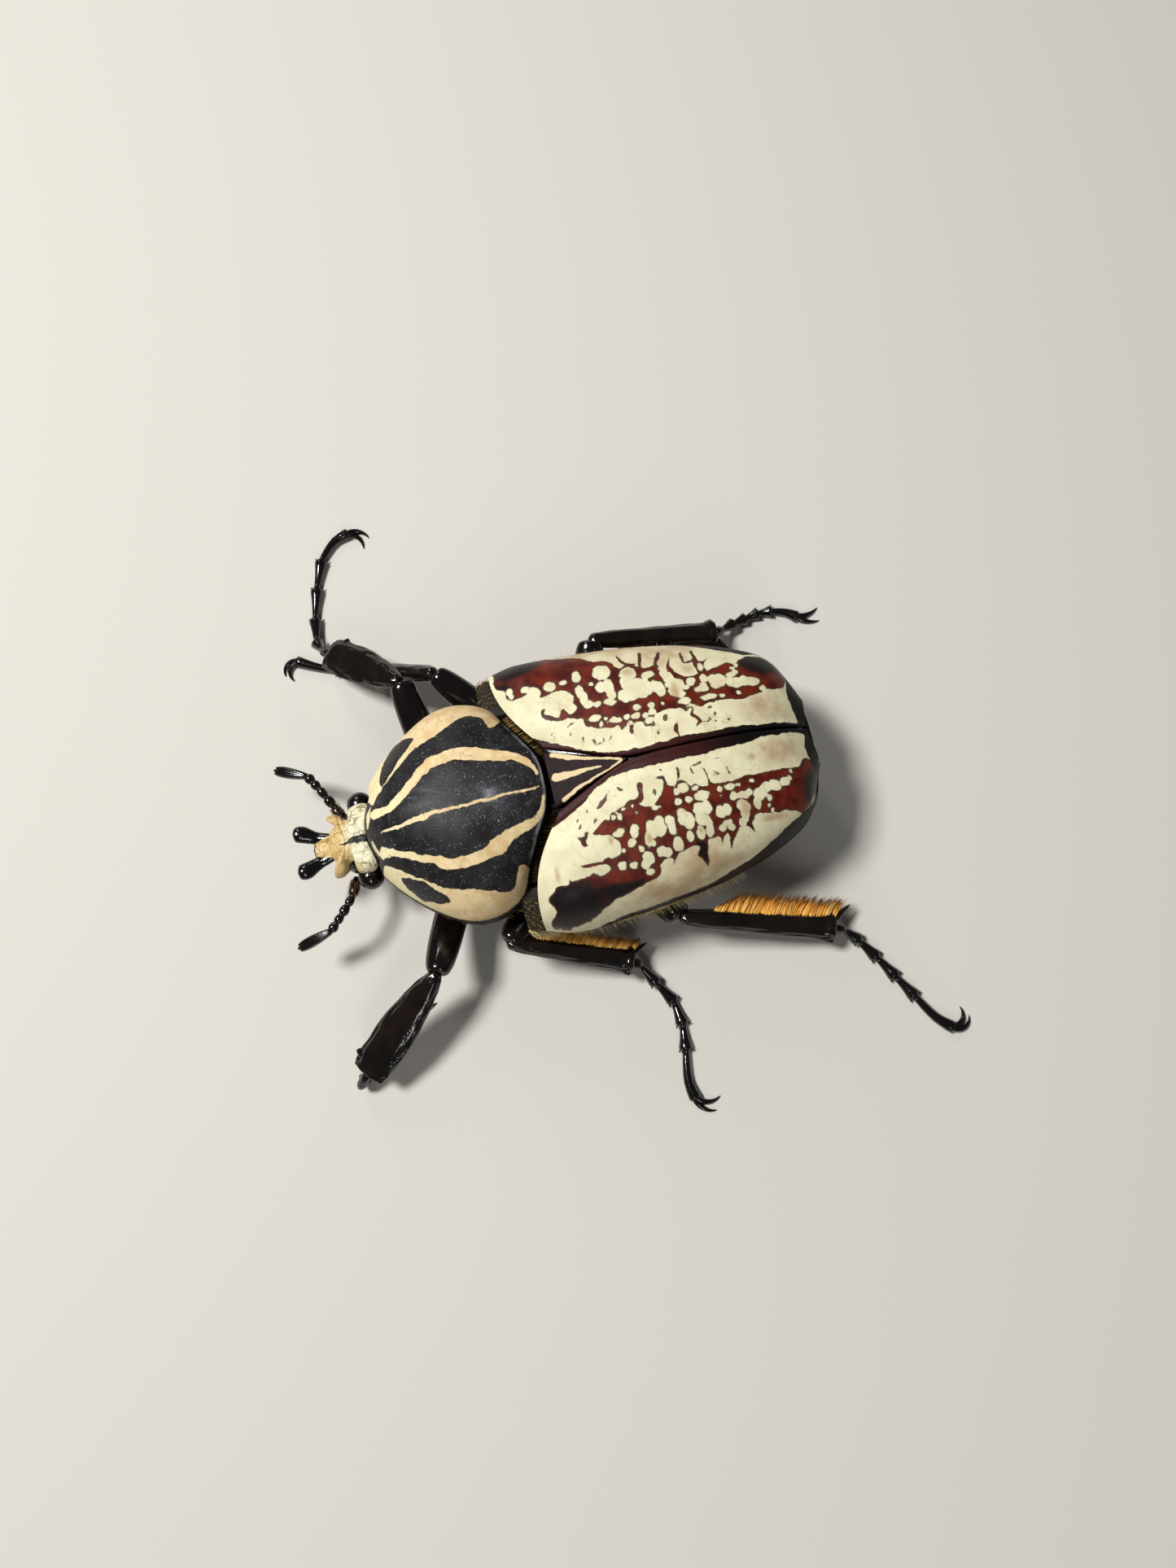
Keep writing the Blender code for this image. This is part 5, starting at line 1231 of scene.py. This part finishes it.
def make_pygidium():
    """Plate that closes the tail under the tips of the wing cases."""
    slope = math.radians(PYGIDIUM_SLOPE)

    def surface(u, v):
        turn = 2 * math.pi * u
        depth = math.pi * v
        lift = PYGIDIUM_RADII[1] * math.sin(depth) * math.cos(turn)
        out = PYGIDIUM_RADII[2] * math.cos(depth)
        return (
            PYGIDIUM_RADII[0] * math.sin(depth) * math.sin(turn),
            PYGIDIUM_CENTRE[1] + lift * math.sin(slope) + out * math.cos(slope),
            PYGIDIUM_CENTRE[2] + lift * math.cos(slope) - out * math.sin(slope),
        )

    finish("plate_pygidium", sheet(surface, *PYGIDIUM_GRID), SHELL_BELLY, ["pygidium"])


def make_head():
    """Cream plate with lobes over a dark capsule."""
    def surface(u, v):
        x, y, z = head_plate_surface(u, v)
        if v > 0.5:
            return (x, y, z)
        own_x = x - HEAD_MIDDLE
        height = sum(tall * noise.noise(Vector((x, y, level)) / wide) for tall, level, wide in HEAD_LUMPS)
        height += HEAD_GROOVE[0] * bump(own_x, y, *HEAD_GROOVE[1:])
        height -= HEAD_BROW_DEPTH * math.exp(-((y - HEAD_BROW + 0.25 * abs(own_x)) / 0.18) ** 2)
        height += sum(tall * bump(abs(own_x), y, *form) for tall, *form in HEAD_SIDES)
        return (x, y, z + height * min(1.0, (0.5 - v) * 12))

    mark_head(finish("head_plate", sheet(surface, *HEAD_GRID), SHELL_HEAD, ["head"]))
    capsule = ball(yawed(HEAD_CAPSULE), HEAD_CAPSULE_RADII, -PROTHORAX_YAW)
    finish("head_capsule", capsule, SHELL_BLACK, ())


def make_horn():
    """Forked horn on the front of the head."""
    bm = limb(smooth_stations([yawed(station) for station in HORN_STEM], 4), 32)
    for side in (1, -1):
        limb(smooth_stations([yawed((side * x, *rest)) for x, *rest in HORN_FORK], 5), 32, bm)
    mark_horn(finish("horn_fork", bm, SHELL_HORN, ["horn"]))


def make_antenna(name, joints, tip):
    """Feeler: a stout haired first joint, small beads and a club of three long leaves."""
    root = Vector(joints[0]).lerp(Vector(joints[1]), -0.05)
    stations = [round_station(root, 0.0), round_station(joints[0], SCAPE_RADIUS * 0.7)]
    for i, (start, end) in enumerate(zip(joints, joints[1:])):
        start, end = Vector(start), Vector(end)
        radius = SCAPE_RADIUS if i == 0 else BEAD_RADIUS
        beads = 1 if i == 0 else 2
        for bead in range(beads):
            plump = random.uniform(0.92, 1.12)
            for part, size in BEAD_SHAPE:
                stations.append(round_station(start.lerp(end, (bead + part) / beads), radius * size * plump))
    stations.append(round_station(joints[-1], 0.0))
    bm = limb(stations, 20)
    start, end = Vector(joints[-1]), Vector(tip)
    across = (end - start).cross(UP).normalized()
    for leaf in (-1, 0, 1):
        stations = []
        for t, size in LEAF_SHAPE:
            place = start.lerp(end, t - 0.05 * abs(leaf)) + across * leaf * LEAF_STEP * math.sin(1.9 * t)
            stations.append((*place, LEAF_RADII[0] * size, LEAF_RADII[1] * size))
        limb(smooth_stations(stations, 3), 20, bm)
    finish("feeler_" + name, bm, SHELL_BLACK, [name])
    first, second = Vector(joints[0]), Vector(joints[1])
    way = (second - first).normalized()
    side = way.cross(UP).normalized()
    tufts = []
    for _ in range(SCAPE_TUFTS):
        t, turn = random.uniform(0.1, 0.95), random.uniform(0.0, math.pi)
        out = side * math.cos(turn) + UP * math.sin(turn)
        tufts.append((first.lerp(second, t) + out * SCAPE_RADIUS * 0.8, out + way * 0.9, way * 0.3,
                      random.uniform(0.3, 0.6), 0.03, (0.05 + 0.9 * t, turn / math.pi)))
    make_coat("hair_" + name, tufts, HAIR_GOLD)


def rounded(start, end, size, shape):
    """Loft stations along a straight length, from its size and shape (t, width share, thickness share)."""
    return [(*start.lerp(end, t), size[0] * w, size[1] * h) for t, w, h in shape]


def make_spurs(bm, place, shin_way, fringe_way, length):
    """Two spurs on the fringed corner of a shin's end."""
    for lean in SPUR_LEAN:
        way = (shin_way * lean + fringe_way).normalized()
        root = place + fringe_way * 0.2 - shin_way * (0.85 - 0.35 * lean)
        stations = []
        for reach, size in SPINE_SHAPE:
            centre = root + way * reach * length + shin_way * reach ** 2 * 0.4
            stations.append(round_station(centre, SPUR_RADIUS * size))
        limb(smooth_stations(stations, 3), 14, bm)


def make_tooth(bm, place, shin_way, side_way):
    """Blunt tooth on the outer corner of a front shin."""
    root = place - shin_way * TOOTH_BACK + side_way * TOOTH_OUT
    way = (side_way + shin_way * 0.3).normalized()
    stations = [(*(root + way * reach), size, size * 0.6) for reach, size in TOOTH_SHAPE]
    limb(smooth_stations(stations, 4), 20, bm)


def add_tuft(bm, uv, root, way, bend, reach, radius, patch):
    """Thin three-sided tapered tuft that bends as it grows; its UV patch lies at its root's place."""
    way = way.normalized()
    side = way.cross(UP)
    side = side.normalized() if side.length > 0.1 else Vector((1.0, 0.0, 0.0))
    lift = side.cross(way)
    low, high = [], []
    for share, size, ring in ((0.0, 1.0, low), (TUFT_WAIST, 0.75, high)):
        centre = root + way * reach * share + bend * reach * share ** 2
        for k in range(3):
            turn = 2 * math.pi * k / 3
            out = (side * math.cos(turn) + lift * math.sin(turn)) * radius * size
            ring.append(bm.verts.new(placed(centre + out)))
    tip = bm.verts.new(placed(root + way * reach + bend * reach))
    faces = [bm.faces.new(low[::-1])]
    for k in range(3):
        n = (k + 1) % 3
        faces.append(bm.faces.new((low[k], low[n], high[n], high[k])))
        faces.append(bm.faces.new((high[k], high[n], tip)))
    for face in faces:
        for i, loop in enumerate(face.loops):
            turn = i * 2.1
            loop[uv].uv = (patch[0] + PATCH_REACH * math.cos(turn), patch[1] + PATCH_REACH * math.sin(turn))


def make_coat(name, tufts, surface):
    """Piece of hair from its tufts, each (root, way, bend, reach, radius, patch)."""
    bm = bmesh.new()
    uv = bm.loops.layers.uv.new("OFBake")
    for tuft in tufts:
        add_tuft(bm, uv, *tuft)
    coat = finish(name, bm, surface, ())
    tint = [random.random() for _ in tufts]
    paint(coat, run=np.tile(TUFT_RUN, len(tufts)), tint=np.repeat(tint, len(TUFT_RUN)))


def make_fringe(name, knee, ankle, fringe_way, row):
    """Comb of stiff hairs on a shin, as thin tapered tufts rooted in it and leaning towards its end."""
    shin_way = (ankle - knee).normalized()
    up = fringe_way.cross(shin_way)
    up = up if up.z > 0 else -up
    count = FRINGE_TUFTS[row]
    tufts = []
    for i in range(count):
        t = FRINGE_SPAN[0] + (FRINGE_SPAN[1] - FRINGE_SPAN[0]) * (i + random.random()) / count
        level = random.uniform(-0.3, 0.35)
        root = knee.lerp(ankle, t) + fringe_way * random.uniform(0.5, 0.8) + up * (0.2 + level)
        swell = min(1.0, (t - FRINGE_SPAN[0]) / 0.16 + 0.3)
        clump = 0.12 * noise.noise(Vector((t * 45.0, 0.0, 0.0)))
        reach = FRINGE_LENGTH[row] * swell * random.uniform(0.8, 1.06) * (1.0 + clump) - 0.1
        way = fringe_way + shin_way * (0.25 + clump + random.uniform(-0.1, 0.1))
        way += up * random.uniform(-0.12, 0.12)
        tufts.append((root, way, shin_way * 0.35, reach, FRINGE_RADIUS, (0.05 + 0.9 * t, 0.5 + 0.4 * level)))
    make_coat("fringe_" + name, tufts, HAIR_ORANGE)


def rooted(surface, u_span, v_span, count, middle, lean, reach):
    """Tufts scattered over part of a skin, standing up from it and leaning one way."""
    tufts = []
    for _ in range(count):
        u, v = random.uniform(*u_span), random.uniform(*v_span)
        root = Vector(surface(u, v))
        out = (Vector(surface(u + 0.003, v)) - root).cross(Vector(surface(u, v + 0.003)) - root).normalized()
        if out.dot(root - Vector(middle)) < 0:
            out.negate()
        way = out + Vector(lean) + Vector([random.uniform(-0.25, 0.25) for _ in range(3)])
        reach_now = reach * random.uniform(0.6, 1.1)
        tufts.append((root - out * 0.08, way, Vector(lean) * 0.3, reach_now, HAIR_RADIUS, (u, v)))
    return tufts


def make_claw(bm, root, way, turn, spread):
    """Hooked claw that turns by an angle along its length."""
    heading = math.atan2(way.y, way.x) + math.radians(spread)
    place = root
    stations = [round_station(root - way * 0.15, 0.0)]
    for i in range(CLAW_STEPS):
        stations.append(round_station(place, CLAW_RADIUS * (1.0 - 0.9 * (i / CLAW_STEPS) ** 1.5)))
        heading += math.radians(turn) / CLAW_STEPS
        place = place + Vector((math.cos(heading), math.sin(heading), -CLAW_DROP)) * CLAW_LENGTH / CLAW_STEPS
    stations.append(round_station(place, 0.0))
    limb(stations, 12, bm)


def make_spines(bm, place, way):
    """Short spines round the end of a foot joint."""
    across = way.cross(UP).normalized()
    for side in (-1.0, -0.5, 0.5, 1.0):
        root = place + across * side * FOOT_RADIUS * 0.85 - way * 0.15
        lean = (way + across * side * 0.75 + UP * 0.1).normalized()
        stations = [round_station(root + lean * reach * SPINE_LENGTH, SPINE_RADIUS * size)
                    for reach, size in SPINE_SHAPE]
        limb(stations, 8, bm)


def make_foot(name, joints, claw_turn, socket):
    """Foot that starts inside the shin's end: five joints, each flaring to its end, and two claws."""
    points = [Vector(joint) for joint in joints]
    short_joints = list(zip(points, points[1:]))[:-2]
    lengths = [(socket, points[0], SOCKET_SHAPE), *[(*joint, FOOT_SHAPE) for joint in short_joints]]
    stations = [round_station(socket, 0.0)]
    for start, end, shape in lengths:
        stations += [round_station(start.lerp(end, t), FOOT_RADIUS * size) for t, size in shape]
    bend = [tuple(point) for point in points[-3:]]
    stations += [round_station(along_curve(bend, t), FOOT_RADIUS * size) for t, size in LAST_JOINT_SHAPE]
    way = (points[-1] - Vector(along_curve(bend, 0.9))).normalized()
    stations.append(round_station(points[-1] + way * 0.1, 0.0))
    bm = limb(stations, 24)
    for start, end in short_joints:
        make_spines(bm, end, (end - start).normalized())
    for spread in (CLAW_SPREAD, -CLAW_SPREAD):
        make_claw(bm, points[-1] - way * 0.3, way, claw_turn, spread)
    for vert in bm.verts:
        vert.co.z = max(vert.co.z, 0.0)
    finish("foot_" + name, bm, SHELL_FOOT, [name])


def make_leg(which):
    """Hip, thigh, shin and foot of one leg."""
    place = LEGS[which]
    row = which.split("_")[0]
    hip, knee, ankle = Vector(place["hip"]), Vector(place["knee"]), Vector(place["ankle"])
    side = 1.0 if hip.x > 0 else -1.0
    coxa_centre = (hip.x - side * COXA_INSET[0], hip.y + COXA_INSET[1], hip.z - COXA_INSET[2])
    finish("hip_" + which, ball(coxa_centre, COXA_RADII[row]), SHELL_BELLY, ["coxa_" + which])
    thigh = limb(smooth_stations(rounded(hip, knee, FEMUR_SIZE[row], FEMUR_SHAPE), 6), 48)
    finish("thigh_" + which, thigh, SHELL_LEG, ["femur_" + which])

    def ridges(turn, v):
        rough = noise.noise(Vector((3.0 * math.cos(turn), 3.0 * math.sin(turn), v * 16.0)))
        return SHIN_RIDGE * math.cos(6.0 * turn) + SHIN_ROUGHNESS * rough

    shin_way = (ankle - knee).normalized()
    side_way = shin_way.cross(UP).normalized()
    shape = FRONT_TIBIA_SHAPE if row == "front" else TIBIA_SHAPE
    stations = rounded(knee - shin_way * 0.2, ankle, TIBIA_SIZE[row], shape)
    bm = limb(smooth_stations(stations, 12), 72, relief=ridges)
    if row == "front":
        make_tooth(bm, ankle, shin_way, side_way)
        finish("shin_" + which, bm, SHELL_SHIN, ["tibia_" + which])
    else:
        fringe_way = side_way * -side
        make_spurs(bm, ankle, shin_way, fringe_way, SPUR_LENGTH[row])
        finish("shin_" + which, bm, SHELL_SHIN, ["tibia_" + which])
        tilt = math.radians(FRINGE_TILT[which])
        make_fringe(which, knee, ankle, fringe_way * math.cos(tilt) - UP * math.sin(tilt), row)
    make_foot("tarsus_" + which, place["foot"], CLAW_TURN[which], ankle - shin_way * 0.7)


make_pronotum()
make_elytron("elytron_left", 1)
make_elytron("elytron_right", -1)
make_trunk("thorax", 0.02, 0.34, 20, 1)
make_trunk("abdomen", 0.355, 0.97, 90, 5)
make_scutellum()
make_mesepimeron("mesepimeron_left", 1)
make_mesepimeron("mesepimeron_right", -1)
make_pygidium()
make_head()
for label, direction in (("left", 1), ("right", -1)):
    centre = yawed((direction * EYE_CENTRE[0], *EYE_CENTRE[1:]))
    finish("eyeball_" + label, ball(centre, (EYE_RADIUS,) * 3), EYE_GLOSS, ["eye_" + label])
make_horn()
make_antenna("antenna_left", ANTENNA_LEFT, ANTENNA_LEFT_TIP)
make_antenna("antenna_right", ANTENNA_RIGHT, ANTENNA_RIGHT_TIP)
for leg in LEGS:
    make_leg(leg)

# Hair of the underside, chest and belly's sides: skin, its middle and the hair's length, and for each area
# its u and v spans, tufts and lean
BODY_COATS = (
    ("hair_thorax", HAIR_GOLD, "body_plate", trunk_ring, (0.0, 5.0, 10.0), 1.0, (
        ((0.32, 0.68), (0.03, 0.33), 1500, (0.0, 0.9, 0.0)),
    )),
    ("hair_prothorax", HAIR_GOLD, "pronotum_shell", pronotum_surface, (0.0, -9.0, 11.0), 1.0, (
        ((0.0, 1.0), (0.53, 0.85), 1500, (0.0, 0.8, 0.0)),
        ((0.33, 0.46), (0.505, 0.53), 420, (0.0, 1.1, 0.5)),
        ((0.54, 0.67), (0.505, 0.53), 420, (0.0, 1.1, 0.5)),
    )),
    ("hair_belly_sides", HAIR_PALE, "body_plate", trunk_ring, (0.0, 9.0, 9.0), 1.5, (
        ((0.25, 0.3), (0.06, 0.62), 620, (0.9, 0.7, 0.1)),
        ((0.7, 0.75), (0.06, 0.62), 620, (-0.9, 0.7, 0.1)),
    )),
)
for coat_name, hair, coat_slot, skin, skin_middle, length, patches in BODY_COATS:
    body_tufts = []
    for u_span, v_span, tuft_count, lean in patches:
        body_tufts += rooted(skin, u_span, v_span, tuft_count, skin_middle, lean, length)
    make_coat(coat_name, body_tufts, hair)


def make_shoulder_hair(label, side):
    """Short golden hair on a shoulder plate and a pale fringe at its outer edge."""
    tufts = []
    for _ in range(SHOULDER_TUFTS):
        t, level = random.random(), random.random()
        root = Vector((side * (9.5 + 3.0 * t), -4.9 + 2.4 * level * (1.0 - 0.4 * t), 11.7 - 0.8 * t))
        way = Vector((side * random.uniform(0.0, 0.8), random.uniform(0.2, 0.8), 0.7))
        tufts.append((root, way, Vector((0.0, 0.3, -0.2)), random.uniform(0.25, 0.5), 0.035, (t, level)))
    make_coat("hair_shoulder_" + label, tufts, HAIR_GOLD)
    tufts = []
    for _ in range(SHOULDER_FRINGE_TUFTS):
        t, level = random.random(), random.random()
        root = Vector((side * (12.2 + 0.4 * t), -5.0 + 2.2 * t, 10.8 - 2.5 * level))
        way = Vector((side * 0.8, random.uniform(0.3, 1.1), random.uniform(-0.5, 0.2)))
        tufts.append((root, way, Vector((0.0, 0.2, -0.3)), random.uniform(0.7, 1.3), HAIR_RADIUS, (t, level)))
    make_coat("fringe_shoulder_" + label, tufts, HAIR_PALE)


make_shoulder_hair("left", 1)
make_shoulder_hair("right", -1)

# Plain pale floor
bm = bmesh.new()
bmesh.ops.create_grid(bm, x_segments=1, y_segments=1, size=FLOOR_HALF_SIZE)
floor_mesh = bpy.data.meshes.new("floor")
bm.to_mesh(floor_mesh)
bm.free()
floor_paint, _, floor_shader, _ = surface_start("floor_paint", 0.85, ior=1.45)
floor_shader.inputs["Base Color"].default_value = linear("#CDC8BF")
floor_mesh.materials.append(floor_paint)
floor = bpy.data.objects.new("floor", floor_mesh)
bpy.context.scene.collection.objects.link(floor)


def make_light(name, place, width, length, power):
    """Soft lamp, a flat panel that points at the beetle."""
    lamp = bpy.data.lights.new(name, "AREA")
    lamp.shape = "RECTANGLE"
    lamp.size = width
    lamp.size_y = length
    lamp.energy = power
    obj = bpy.data.objects.new(name, lamp)
    obj.location = place
    obj.rotation_mode = "QUATERNION"
    obj.rotation_quaternion = (Vector(LIGHT_TARGET) - Vector(place)).to_track_quat("-Z", "Y")
    bpy.context.scene.collection.objects.link(obj)


make_light("key_light", (-0.1, -0.2, 0.42), 0.1, 0.1, 2.45)
make_light("side_light_left", (0.4, -0.04, 0.36), 0.05, 0.24, 0.4)
make_light("side_light_right", (-0.42, -0.1, 0.28), 0.05, 0.24, 0.35)

world = bpy.data.worlds.new("studio")
world.use_nodes = True
background = world.node_tree.nodes["Background"]
background.inputs["Color"].default_value = linear("#E9EDF2")
background.inputs["Strength"].default_value = WORLD_STRENGTH
bpy.context.scene.world = world
bpy.context.scene.view_settings.view_transform = "Standard"

lens = bpy.data.cameras.new("camera")
lens.sensor_fit = "VERTICAL"
lens.sensor_height = SENSOR_HEIGHT
lens.sensor_width = SENSOR_HEIGHT
lens.lens = SENSOR_HEIGHT * FOCAL_PIXELS / FRAME_HEIGHT
lens.clip_start = 0.002
lens.clip_end = 20.0
camera = bpy.data.objects.new("camera", lens)
right = Vector(CAMERA_RIGHT).normalized()
back = -Vector(CAMERA_AHEAD).normalized()
up = back.cross(right).normalized()
right = up.cross(back)
pose = Matrix((right, up, back)).transposed().to_4x4()
pose.translation = Vector(CAMERA_PLACE) * MM
camera.matrix_world = pose
bpy.context.scene.collection.objects.link(camera)
bpy.context.scene.camera = camera
